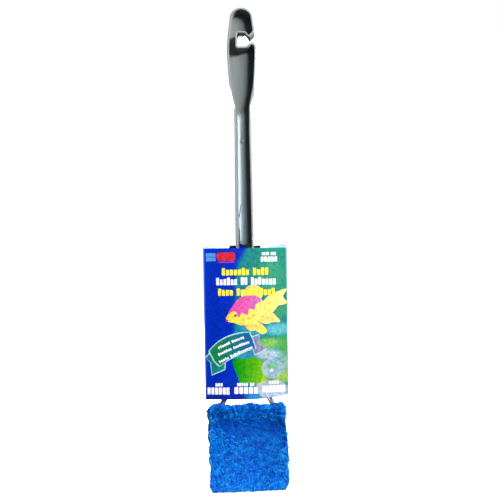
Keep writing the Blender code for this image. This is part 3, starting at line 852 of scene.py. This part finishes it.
    # Plain colour blocks and rows of blocks where the real card carries its marks and wording.
    lay(bar(-36.5, -27.4, 229.2, 236.8), (84, 150, 226))
    lay(bar(-36.5, -27.4, 232.6, 233.3, 0.1), (40, 96, 200))
    lay(bar(-26.4, -8.8, 228.8, 236.4, 2.6), (216, 44, 50), (206, 38, 60))
    lay(bar(-25.4, -9.8, 237.4, 238.3, 0.3), (190, 60, 96))
    lay(word_blocks(15.9, 29.2, 229.0, 231.9, (4, 3), even=True), white)
    lay(word_blocks(14.6, 30.4, 233.2, 237.9, (5,), even=True), white)
    lay(word_blocks(-22, 22, 243.4, 250.2, (7, 4)), yellow, (244, 238, 90))
    lay(word_blocks(-27.5, 28.8, 252.3, 259.3, (6, 2, 7)), white)
    lay(word_blocks(-25.8, 27.8, 262.4, 269.2, (4, 10)), yellow, (240, 230, 90))
    lay(word_blocks(-29.6, -22.4, 350.7, 353.8, (3,), even=True), white)
    lay(word_blocks(-37.2, -15.9, 354.8, 361.4, (6,), even=True), white)
    lay(word_blocks(-9.3, 7.0, 350.7, 353.8, (5, 2), even=True), white)
    lay(word_blocks(-12.0, 10.5, 354.6, 360.9, (5,), even=True), white)
    lay(word_blocks(20.6, 29.9, 349.2, 352.2, (4,), even=True), white)
    lay(word_blocks(14.0, 36.2, 353.6, 360.0, (7,), even=True), white)
    return layers


def back_print():
    """The back panel, which isn't seen: a pale box of plain rows on the ground colour."""
    layers = [(bar(-33, 33, 236, 300, 2.5), (232, 240, 246), (232, 240, 246), 1.0)]
    for row in range(9):
        right, words = (28, (7, 4, 9, 6)) if row % 4 < 3 else (4, (5, 6))
        for block in word_blocks(-28, right, 242 + 6 * row, 244.6 + 6 * row, words):
            layers.append((block, (70, 84, 130), (70, 84, 130), 1.0))
    for x in (-22, 0, 22):
        layers.append((disc(x, 326, 8), (94, 186, 214), (120, 206, 220), 1.0))
        layers.append((disc(x, 326, 5.5), (16, 70, 186), (22, 96, 196), 1.0))
    return layers


def printed_layers():
    """Every printed outline on the flat card: outline (across, run), colours, opacity."""
    limit = CARD_HALF_WIDTH - 0.3  # nothing is printed over the card's sides
    layers = []
    for printed, on_front in ((front_print(), True), (back_print(), False)):
        for outline, left, right, opacity in printed:
            x, drop = np.array(outline, float).T
            run = CARD_BOTTOM - drop if on_front else BACK_START + drop - BACK_TOP
            layers.append((np.c_[np.clip(x, -limit, limit), run], left, right, opacity))
    return layers


def sheet_edge():
    """The flat card's outer edge, and the slot in its fold with the tab that was pushed up out of it."""

    def side(start, end, spacing):
        count = max(1, round(math.dist(start, end) / spacing))
        (x0, r0), (x1, r1) = start, end
        return [(x0 + (x1 - x0) * t, r0 + (r1 - r0) * t) for t in steps(0, 1, count)[:-1]]

    low, high, top = FRONT_RUN, BACK_START, SHEET_LENGTH
    folds = (low - 1, low + 1, high - 1, high + 1)
    corners = [(-CARD_HALF_WIDTH, 0), (TRIM_START, 0)]
    corners += [(CARD_HALF_WIDTH, run) for run in (TRIM, *folds, top - TRIM)]
    corners += [(TRIM_START, top)]
    corners += [(-CARD_HALF_WIDTH, run) for run in (top, *reversed(folds))]
    outer = []
    for start, end in zip(corners, corners[1:] + corners[:1]):
        at_fold = start[0] == end[0] and math.dist(start, end) < 2.1
        outer += side(start, end, 0.25 if at_fold else 1.5)
    tab_top = low + TAB_HEIGHT
    tab = [(TAB_HALF * k, tab_top - 1.5 * (1 - k * k)) for k in steps(-1, 1, 12)]
    slot = [(-SLOT_HALF, low), (-TAB_HALF, low), *tab, (TAB_HALF, low), (SLOT_HALF, low)]
    slot += [(SLOT_HALF, high), (-SLOT_HALF, high)]
    slot_edge = []
    for start, end in zip(slot, slot[1:] + slot[:1]):
        slot_edge += side(start, end, 0.8)
    return outer, slot_edge


def sheet_ink(flat, corners, layers):
    """The colour of each corner of each triangle of the flat card, as the shaders use it."""
    x, run = flat[:, 0], flat[:, 1]
    on_back = run > FOLD_MIDDLE
    drop = np.where(on_back, 290.0, np.maximum(CARD_BOTTOM - run, CARD_TOP))
    painted = ground_colour(np.where(on_back, -30, x), drop)
    # The tab is painted dark, a painted shade. The fold is painted pale, a painted highlight with cracked
    # ink, and the ink is rubbed pale along the card's sides.
    on_tab = (np.abs(x) <= TAB_HALF + 0.1) & (run > FRONT_RUN + 0.3) & (run < FRONT_RUN + TAB_HEIGHT + 0.1)
    to_right = smoothstep(-2, 3, x)
    dark = np.stack([0 * x + 4, 16 + 26 * to_right, 96 - 56 * to_right], axis=1)
    painted = np.where(on_tab[:, None], dark, painted)
    fold = smoothstep(FRONT_RUN - 0.2, FRONT_RUN + 0.9, run)
    fold *= smoothstep(BACK_START + 0.4, BACK_START - 0.6, run)
    sides = smoothstep(CARD_HALF_WIDTH - 0.7, CARD_HALF_WIDTH, np.abs(x))
    painted_light_and_wear = np.maximum(0.62 * fold * ~on_tab, 0.5 * sides)
    painted += painted_light_and_wear[:, None] * (np.array((214, 226, 232)) - painted)

    colours = painted[corners]
    centres = flat[corners].mean(axis=1)
    for points, left, right, opacity in layers:
        low, high = points.min(axis=0), points.max(axis=0)
        near = np.flatnonzero(((centres > low) & (centres < high)).all(axis=1))
        near = near[depth_inside(centres[near], points) > 0]
        share = ((flat[corners[near], 0] - low[0]) / (high[0] - low[0])).clip(0, 1)[..., None]
        paint = np.array(left, float) * (1 - share) + np.array(right, float) * share
        colours[near] += opacity * (paint - colours[near])
    return linear(colours)


def divided(outline, longest=1.4):
    """The closed outline with more points along its long edges, so that the sheet can bend there."""
    outline = np.asarray(outline, float)
    made = []
    for start, end in zip(outline, np.roll(outline, -1, axis=0)):
        count = max(1, math.ceil(math.dist(start, end) / longest))
        made += [tuple(start + (end - start) * k / count) for k in range(count)]
    return made


def build_card():
    layers = printed_layers()
    sheet = Drawing()
    for edge in sheet_edge():
        sheet.line(edge, border=True)
    for points, _, _, _ in layers:
        sheet.line(divided(points))
    # Rows of points across the sheet, close together at the creases.
    rows = (
        np.arange(1.6, FRONT_RUN - 1.6, 1.6), np.arange(FRONT_RUN - 1, FRONT_RUN + 1.1, 0.25),
        np.arange(FRONT_RUN + 2, BACK_START - 1.5, 1.6), np.arange(BACK_START - 1, BACK_START + 1.1, 0.25),
        np.arange(BACK_START + 3, SHEET_LENGTH - 1.5, 3.0),
    )
    for row in np.concatenate(rows):
        columns = np.arange(-CARD_HALF_WIDTH + 1.6, CARD_HALF_WIDTH - 0.8, 1.6)
        in_slot = FRONT_RUN - 0.15 < row < BACK_START + 0.15
        trimmed = TRIM * (columns - TRIM_START) / (CARD_HALF_WIDTH - TRIM_START) + 0.8
        kept = (row > trimmed) & (row < SHEET_LENGTH - trimmed)
        kept &= ~(in_slot & (abs(columns) < SLOT_HALF + 0.5))
        sheet.dots([(x, row) for x in columns[kept]])
    sheet.dots([(x, FRONT_RUN + rise) for rise in (0.6, 1.4, 2.2) for x in np.arange(-4, 4.5, 1.0)])
    band = [(x, BACK_START + PAINTED_SHADE_BAND) for x in np.arange(-CARD_HALF_WIDTH + 0.8, CARD_HALF_WIDTH, 1.5)]
    sheet.line(band, closed=False)
    flat, _, faces, borders = sheet.fill()

    outer, inner = card_faces_of(flat[:, 0], flat[:, 1])
    count = len(flat)
    everything = faces + [tuple(count + i for i in reversed(face)) for face in faces]
    for border in borders:
        everything += joined_sides(border, [count + i for i in border])
    points, materials = np.vstack([outer, inner]), [print_material(), board_material()]
    obj = mesh_object("printed_sleeve", points, everything, materials, "sleeve")
    mesh = obj.data
    face_outwards(mesh)
    # The inside is bare board, but for a dark band across the back panel's top, behind the slot, which is
    # painted shade.
    along = flat[np.array(faces)].mean(axis=1)[:, 1]
    in_painted_shade_band = (along > BACK_START) & (along < BACK_START + PAINTED_SHADE_BAND)
    material_index = np.ones(len(everything), np.int32)
    material_index[: len(faces)] = 0
    material_index[len(faces) : 2 * len(faces)] = ~in_painted_shade_band
    mesh.polygons.foreach_set("material_index", material_index)
    ink = mesh.color_attributes.new("ink", "FLOAT_COLOR", "CORNER")
    corners = np.zeros(len(mesh.loops), np.int32)
    mesh.loops.foreach_get("vertex_index", corners)
    values = np.full((len(mesh.loops), 4), PAINTED_SHADE_GREY, np.float32)
    outside = corners[: 3 * len(faces)].reshape(-1, 3)
    values[: 3 * len(faces), :3] = sheet_ink(flat, outside, layers).reshape(-1, 3)
    ink.data.foreach_set("color", values.ravel())
    mesh.set_sharp_from_angle(angle=math.radians(40))
    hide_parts("sleeve_card")


# ---------------------------------------------------------------- the fibre pad

pad_low, pad_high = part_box("pad_front_ply")
PAD_HALF_WIDTH, PAD_BOTTOM, PAD_FACE = pad_high.x / MM, pad_low.z / MM, -pad_low.y / MM
RIVET_X, RIVET_Z, SINK_RADIUS = 19.5, height(388.4), 5.0
STRAND_RADIUS = 0.30
STRAND_POINTS = 6
VEIL_STRANDS = 700


def cloud(points, size, octaves=3, shift=0.0):
    """Smooth noise at the points, about -1 to 1, in lumps of the given size."""
    places = [Vector((x / size + shift, y / size, z / size)) for x, y, z in points]
    return np.array([noise.fractal(place, 1.0, 2.0, octaves) for place in places])


def pad_shape(points, normals, facing, pad_top):
    """Moves the plain ply's outer surface to the well-used, springy block that the pad is. The faces round
    the crossbar stay where they are."""
    x, y, z = points.T
    rim = np.minimum(np.minimum(PAD_HALF_WIDTH - np.abs(x), pad_top - z), z - PAD_BOTTOM)
    outer = np.maximum(smoothstep(5, 8, np.abs(y)), 1 - smoothstep(1.2, 3.6, rim))
    arms = fall_off(np.abs(x), 25.5, 5.0) * smoothstep(pad_top - 14, pad_top - 9, z)
    outer = outer * (1 - arms * smoothstep(5.5, 4.0, np.abs(y)))
    lumps = 0.35 * cloud(points, 10.0, 2, shift=20.0) + 0.25 * cloud(points, 3.2, 2, shift=50.0)
    moved = points + normals * (outer * (lumps - 1.1))[:, None]

    # The face: pulled in by the rivets along a trough below the top edge, and hollow in the middle.
    face = smoothstep(6, 10, np.abs(y)) * facing
    trough = 1.1 * fall_off(z, RIVET_Z - 2 - 0.06 * x, 6.0)
    trough *= smoothstep(-34, -16, x) * smoothstep(39, 30, x)
    dimples = 1.1 * fall_off(np.hypot(x + RIVET_X - 1.5, (z - RIVET_Z) * 1.3), 0, 5.0)
    dimples += 0.8 * fall_off(np.hypot((x - RIVET_X) * 0.7, z - RIVET_Z + 1), 0, 6.0)
    hollow = 0.8 * fall_off(np.hypot(x + 2, (z - pad_top + 46) * 1.1), 0, 24)
    moved[:, 1] -= face * (trough + dimples + hollow)

    # The outline: wavy top, scalloped left side, bottom edge cut a little askew, and one lower corner lost.
    up = smoothstep(PAD_BOTTOM, pad_top, z)
    left, right = smoothstep(-30, -38, x), smoothstep(30, 38, x)
    top_wave = 0.9 * np.sin(x / 5.1 + 0.8) + 0.6 * np.sin(x / 2.3)
    scallop = 0.7 * np.sin((z - pad_top) / 3.4) + 0.6 * np.sin(z / 1.7)
    shift_x = left * (1.1 + 0.8 * scallop + 1.4 * (1 - up))
    shift_x -= right * (0.2 + 2.4 * smoothstep(0.4, 1.0, up) + 0.3 * scallop)
    top_edge, bottom_edge = smoothstep(0.93, 1.0, up), smoothstep(0.3, 0.0, up)
    crown = 1.2 * smoothstep(8.0, 12.7, np.abs(y)) + 1.0 * smoothstep(30, 38, np.abs(x))
    shift_z = top_edge * (0.7 * top_wave - 0.4 - crown) + bottom_edge * (1.9 * (x + 38) / 76 - 0.5)
    corner = np.maximum(0, 8 - np.maximum(0, 42 - x) - 0.55 * np.maximum(0, z - PAD_BOTTOM))
    moved[:, 0] += outer * (shift_x - 0.75 * corner)
    moved[:, 2] += outer * shift_z
    return moved, outer


def tube_mesh(paths, ups, radii, shades):
    """Closed three-sided tubes along many paths at once: points, faces and a shade for each point."""
    count, length, _ = paths.shape
    ahead = np.gradient(paths, axis=1)
    ahead /= np.linalg.norm(ahead, axis=2, keepdims=True) + 1e-9
    aside = np.cross(ahead, ups)
    aside /= np.linalg.norm(aside, axis=2, keepdims=True) + 1e-9
    above = np.cross(aside, ahead)
    taper = np.ones(length)
    taper[[0, -1]] = 0.35
    rings = []
    for turn in (math.pi / 2, math.pi * 7 / 6, math.pi * 11 / 6):
        reach = radii[:, None, None] * taper[None, :, None]
        rings.append(paths + reach * (math.cos(turn) * aside + math.sin(turn) * above))
    vertices = np.stack(rings, axis=2).reshape(-1, 3)
    first = np.arange(count)[:, None] * length * 3
    faces = []
    for k in range(length - 1):
        for a in range(3):
            b = (a + 1) % 3
            faces.append(np.hstack([first + 3 * k + corner for corner in (a, b, 3 + b, 3 + a)]))
    ends = [first + np.array([[2, 1, 0]]), first + 3 * (length - 1) + np.array([[0, 1, 2]])]
    polygons = np.vstack(faces).tolist() + np.vstack(ends).tolist()
    return vertices, polygons, np.repeat(shades, length * 3)


def strand_paths(tree, roots, normals, rng, length, lift, dive):
    """Curly paths over a surface: each wanders from its root, rises and dips, and dives in at its ends."""
    count = len(roots)
    stride = rng.uniform(*length, count) / (STRAND_POINTS - 1)
    heading = rng.uniform(0, 2 * math.pi, count)
    bend = rng.normal(0, 0.65, count)
    phase, wave = rng.uniform(0, 2 * math.pi, count), rng.uniform(0.9, 2.1, count)
    rise = rng.uniform(*lift, count)
    jitter = rng.normal(0, 0.35, (count, STRAND_POINTS))
    paths, ups = np.zeros((count, STRAND_POINTS, 3)), np.zeros((count, STRAND_POINTS, 3))
    for i in range(count):
        here, normal = Vector(roots[i]), Vector(normals[i])
        side = normal.orthogonal().normalized()
        direction = (Matrix.Rotation(heading[i], 3, normal) @ side)
        for k in range(STRAND_POINTS):
            end = k in (0, STRAND_POINTS - 1)
            above = -dive if end else rise[i] * (0.55 + 0.45 * math.sin(phase[i] + wave[i] * k))
            paths[i, k] = here + normal * above
            ups[i, k] = normal
            direction = Matrix.Rotation(bend[i] * stride[i] + jitter[i, k], 3, normal) @ direction
            direction = (direction - normal * direction.dot(normal)).normalized()
            found, facing, _, _ = tree.find_nearest(here + direction * stride[i])
            here, normal = found, facing
    return paths, ups, rise


def tuft_paths(roots, normals, rng, length):
    """Frayed ends that stand off the surface and curl over."""
    count = len(roots)
    stride = rng.uniform(*length, count)[:, None] / (STRAND_POINTS - 1)
    aside = np.cross(normals, rng.normal(size=(count, 3)))
    aside /= np.linalg.norm(aside, axis=1, keepdims=True)
    curl = rng.uniform(0.5, 1.7, count)[:, None]
    paths = [roots - normals * 0.4]
    for k in range(1, STRAND_POINTS):
        lean = curl * k / STRAND_POINTS * 1.2
        paths.append(paths[-1] + stride * (normals * np.cos(lean) + aside * np.sin(lean)))
    paths = np.stack(paths, axis=1)
    return paths, np.cross(np.gradient(paths, axis=1), aside[:, None, :].repeat(STRAND_POINTS, axis=1))


def veil_paths(facing, rng, count):
    """Strands that bridge the sunk rivet heads, sagging towards them."""
    paths = np.zeros((count, STRAND_POINTS, 3))
    centre = rng.integers(0, 2, count) * 2 - 1
    start = rng.uniform(0, 2 * math.pi, count)
    finish = start + math.pi + rng.normal(0, 0.75, count)
    reach = SINK_RADIUS + rng.uniform(0.6, 2.2, count)
    for k, t in enumerate(steps(0, 1, STRAND_POINTS - 1)):
        x = (1 - t) * np.cos(start) + t * np.cos(finish)
        z = (1 - t) * np.sin(start) + t * np.sin(finish)
        bow = math.sin(math.pi * t)
        paths[:, k, 0] = centre * RIVET_X + reach * x + rng.normal(0, 0.5, count) * bow
        paths[:, k, 2] = RIVET_Z + reach * z + rng.normal(0, 0.5, count) * bow
        near = fall_off(np.hypot(paths[:, k, 0] - centre * RIVET_X, paths[:, k, 2] - RIVET_Z), 0, 4.5)
        paths[:, k, 1] = facing * (PAD_FACE - 2.2 + rng.uniform(-0.8, 0.5, count) - 0.6 * near)
    ups = np.zeros_like(paths)
    ups[:, :, 1] = facing
    return paths, ups


def painted_shade_share(points, pad_top):
    """How far the strands are darkened with painted shade: along the trough, round the rivets and near the
    top edge.
    """
    x, _, z = points.T
    trough = fall_off(z, RIVET_Z - 1 - 0.05 * x, 6.0) * smoothstep(-32, -20, x) * smoothstep(39, 30, x)
    streak = fall_off(np.hypot((x + RIVET_X - 1) * 0.5, z - RIVET_Z), 0, 2.6)
    return np.clip(0.85 * trough + 0.9 * streak + 0.5 * smoothstep(pad_top - 6, pad_top, z), 0, 1.3)


def save_strands(name, paths, ups, shades, rng):
    """Makes one object of the strands, each with its shade and its own thickness."""
    radii = STRAND_RADIUS * rng.uniform(0.75, 1.3, len(paths))
    vertices, polygons, shade = tube_mesh(paths, ups, radii, np.clip(shades, 0, 1))
    obj = mesh_object(name, vertices, polygons, [fibre_material()], "scrubber")
    attribute = obj.data.attributes.new("shade", "FLOAT", "POINT")
    attribute.data.foreach_set("value", shade.astype(np.float32))


def build_ply(side, seed, strands):
    """One ply of the pad: a matted core of the ply's own shape, the strands lying over its outside, and the
    frayed ones that stand off it or bridge the rivets."""
    node_name = f"pad_{side}_ply"
    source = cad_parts[node_name]
    facing = -1 if side == "front" else 1
    copy = bpy.data.objects.new(f"{side}_pad_cage", source.data.copy())
    bpy.context.scene.collection.objects.link(copy)
    weld = copy.modifiers.new("weld", "WELD")
    weld.merge_threshold = 1e-5
    remesh = copy.modifiers.new("remesh", "REMESH")
    remesh.mode, remesh.voxel_size = "VOXEL", 1.15 * MM
    soften = copy.modifiers.new("soften", "SMOOTH")
    soften.factor, soften.iterations = 0.5, 5
    graph = bpy.context.evaluated_depsgraph_get()
    mesh = bpy.data.meshes.new_from_object(copy.evaluated_get(graph))
    bpy.data.objects.remove(copy)

    count = len(mesh.vertices)
    points, normals = np.zeros(count * 3), np.zeros(count * 3)
    mesh.vertices.foreach_get("co", points)
    mesh.vertex_normals.foreach_get("vector", normals)
    pad_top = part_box(node_name)[1].z / MM
    points, outer = pad_shape(points.reshape(-1, 3) / MM, normals.reshape(-1, 3), facing, pad_top)
    faces = [tuple(face.vertices) for face in mesh.polygons]
    bpy.data.meshes.remove(mesh)
    core = mesh_object(f"{side}_pad_core", points, faces, [matting_material()], "scrubber")
    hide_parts(node_name)

    # Roots are spread evenly over the outer surface by area.
    rng = np.random.default_rng(seed)
    core.data.calc_loop_triangles()
    triangles = np.array([tuple(t.vertices) for t in core.data.loop_triangles])
    a, b, c = (points[triangles[:, k]] for k in range(3))
    cross = np.cross(b - a, c - a)
    size = np.linalg.norm(cross, axis=1)
    open_share = outer[triangles].min(axis=1) > 0.6
    weight = size * open_share
    tree = bvhtree.BVHTree.FromPolygons([tuple(p) for p in points], faces)

    def rooted(number, chances):
        chosen = rng.choice(len(triangles), number, p=chances / chances.sum())
        u, v = rng.uniform(size=(2, number))
        over = u + v > 1
        u, v = np.where(over, 1 - u, u)[:, None], np.where(over, 1 - v, v)[:, None]
        roots = a[chosen] + u * (b - a)[chosen] + v * (c - a)[chosen]
        return roots, cross[chosen] / size[chosen][:, None]

    # Painted light on the strands: those that stand highest are painted palest, a painted highlight, and the
    # low ones darker, a painted shade. Those near the sides and the bottom are painted paler, and those along
    # the trough, round the rivets and near the top edge are darkened with painted shade.
    roots, outwards = rooted(strands, weight)
    lift = (0.1, 0.85)
    lying, lying_ups, rise = strand_paths(tree, roots, outwards, rng, length=(4, 8), lift=lift, dive=0.35)
    shades = 0.02 + 0.95 * ((rise - lift[0]) / (lift[1] - lift[0])) ** 1.7 + rng.normal(0, 0.08, strands)
    painted_edge_light = smoothstep(22, 38, np.abs(roots[:, 0])) + smoothstep(PAD_BOTTOM + 14, PAD_BOTTOM, roots[:, 2])
    shades = (shades + 0.12 * np.minimum(painted_edge_light, 1)) * (1 - 0.45 * painted_shade_share(roots, pad_top))
    save_strands(f"{side}_pad_strands", lying, lying_ups, shades, rng)

    middle = (a + b + c) / 3
    x, _, z = middle.T
    rim = np.minimum(PAD_HALF_WIDTH - np.abs(x), np.minimum(pad_top - z, z - PAD_BOTTOM))
    ragged = np.exp(-np.maximum(rim, 0) / 2.5) * (0.12 + fall_off(x, 36, 9) * fall_off(z, pad_top, 12))
    tufts, tuft_ups = tuft_paths(*rooted(strands // 12, weight * ragged), rng, length=(1.6, 4.2))
    veil, veil_ups = veil_paths(facing, rng, VEIL_STRANDS)
    paths, ups = np.concatenate([tufts, veil]), np.concatenate([tuft_ups, veil_ups])
    shades = np.concatenate([rng.uniform(0.3, 1.0, len(tufts)), rng.uniform(0.0, 0.6, len(veil)) ** 1.3])
    save_strands(f"{side}_pad_fray", paths, ups, shades, rng)
# ---------------------------------------------------------------- the small CAD pieces


def dress(material, *node_names):
    """Gives CAD nodes a better material. Their shapes are right as they are."""
    for name in node_names:
        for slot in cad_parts[name].material_slots:
            slot.material = material


# ---------------------------------------------------------------- camera, light, surroundings


def area_light(name, location, target, size, power, colour=(1, 1, 1)):
    """A soft light. The size is one number for a disc, or two for an oblong. All in metres and watts."""
    data = bpy.data.lights.new(name, "AREA")
    if isinstance(size, tuple):
        data.shape = "RECTANGLE"
        data.size, data.size_y = size
    else:
        data.shape = "DISK"
        data.size = size
    data.energy = power
    data.color = colour
    obj = bpy.data.objects.new(name, data)
    bpy.context.scene.collection.objects.link(obj)
    obj.location = location
    obj.rotation_euler = (Vector(target) - obj.location).to_track_quat("-Z", "Y").to_euler()
    return obj


def build_camera():
    data = bpy.data.cameras.new("camera")
    data.sensor_width = 36
    data.lens = 36 * 422.5 / 501
    data.clip_start = 0.01
    obj = bpy.data.objects.new("camera", data)
    bpy.context.scene.collection.objects.link(obj)
    roll = math.radians(0.93)
    right, up = (math.cos(roll), 0, -math.sin(roll)), (math.sin(roll), 0, math.cos(roll))
    columns = Matrix((right, up, (0, -1, 0))).transposed()
    obj.matrix_world = Matrix.Translation((0.00535, -0.4, -0.2038)) @ columns.to_4x4()
    bpy.context.scene.camera = obj


def build_world():
    """A white room that is dimmer as a light than it looks."""
    world = bpy.data.worlds.new("studio")
    bpy.context.scene.world = world
    world.use_nodes = True
    nodes, links = world.node_tree.nodes, world.node_tree.links
    background = nodes["Background"]
    background.inputs["Color"].default_value = (1, 1, 1, 1)
    background.inputs["Strength"].default_value = 0.035
    seen = nodes.new("ShaderNodeBackground")
    seen.inputs["Color"].default_value = (1, 1, 1, 1)
    seen.inputs["Strength"].default_value = 1.0
    path = nodes.new("ShaderNodeLightPath")
    mix = nodes.new("ShaderNodeMixShader")
    links.new(path.outputs["Is Camera Ray"], mix.inputs["Fac"])
    links.new(background.outputs["Background"], mix.inputs[1])
    links.new(seen.outputs["Background"], mix.inputs[2])
    links.new(mix.outputs["Shader"], nodes["World Output"].inputs["Surface"])
    view = bpy.context.scene.view_settings
    view.view_transform = "Standard"
    view.look = "None"


def build_floor():
    """A plain pale floor just below the hanging tool."""
    look = Look("floor_look", Emission_Color=(1, 1, 1, 1), Emission_Strength=1.0, Roughness=0.9)
    look.colour(look.ramp(look.noise(40, detail=2), (0.3, 0.80), (0.7, 0.84)))
    mesh = bpy.data.meshes.new("floor")
    edit = bmesh.new()
    bmesh.ops.create_circle(edit, cap_ends=True, segments=96, radius=6)
    edit.to_mesh(mesh)
    edit.free()
    mesh.materials.append(look.mat)
    obj = bpy.data.objects.new("floor", mesh)
    bpy.context.scene.collection.objects.link(obj)
    obj.location = (0, 0, cad_low[2] - 0.02)
    obj.visible_diffuse = obj.visible_glossy = False


build_camera()
build_handle()
build_card()
build_ply("front", seed=11, strands=6100)
build_ply("back", seed=23, strands=5600)
dress(nylon_material(), "pad_rivet_left", "pad_rivet_right", "rivet_washer_left", "rivet_washer_right")
dress(adhesive_material(), "pad_bond_film")
dress(glue_material(), "glue_dot_left", "glue_dot_right")
build_world()
build_floor()
area_light("key", (0.69, -0.48, 0.285), (0, 0, -0.18), (0.70, 0.20), 28.0)
low_light = area_light("low_light", (-0.03, -0.40, -0.58), (0, 0, -0.415), 0.10, 0.26)
low_light.data.spread = math.radians(20)
GLINT_X, GLINT_Z = -0.0149, -0.063  # straight in front of the stem, seen in its gloss only
glint_place, glint_target = (GLINT_X, -0.42, GLINT_Z), (GLINT_X, 0, GLINT_Z)
glint = area_light("stem_glint", glint_place, glint_target, (0.007, 0.242), 0.25, (0.62, 0.85, 1.0))
glint.visible_diffuse = False
back_light = area_light("back_light", (-0.15, 0.9, 0.15), (0, 0, -0.2), 0.5, 22.0)
back_light.visible_camera = False
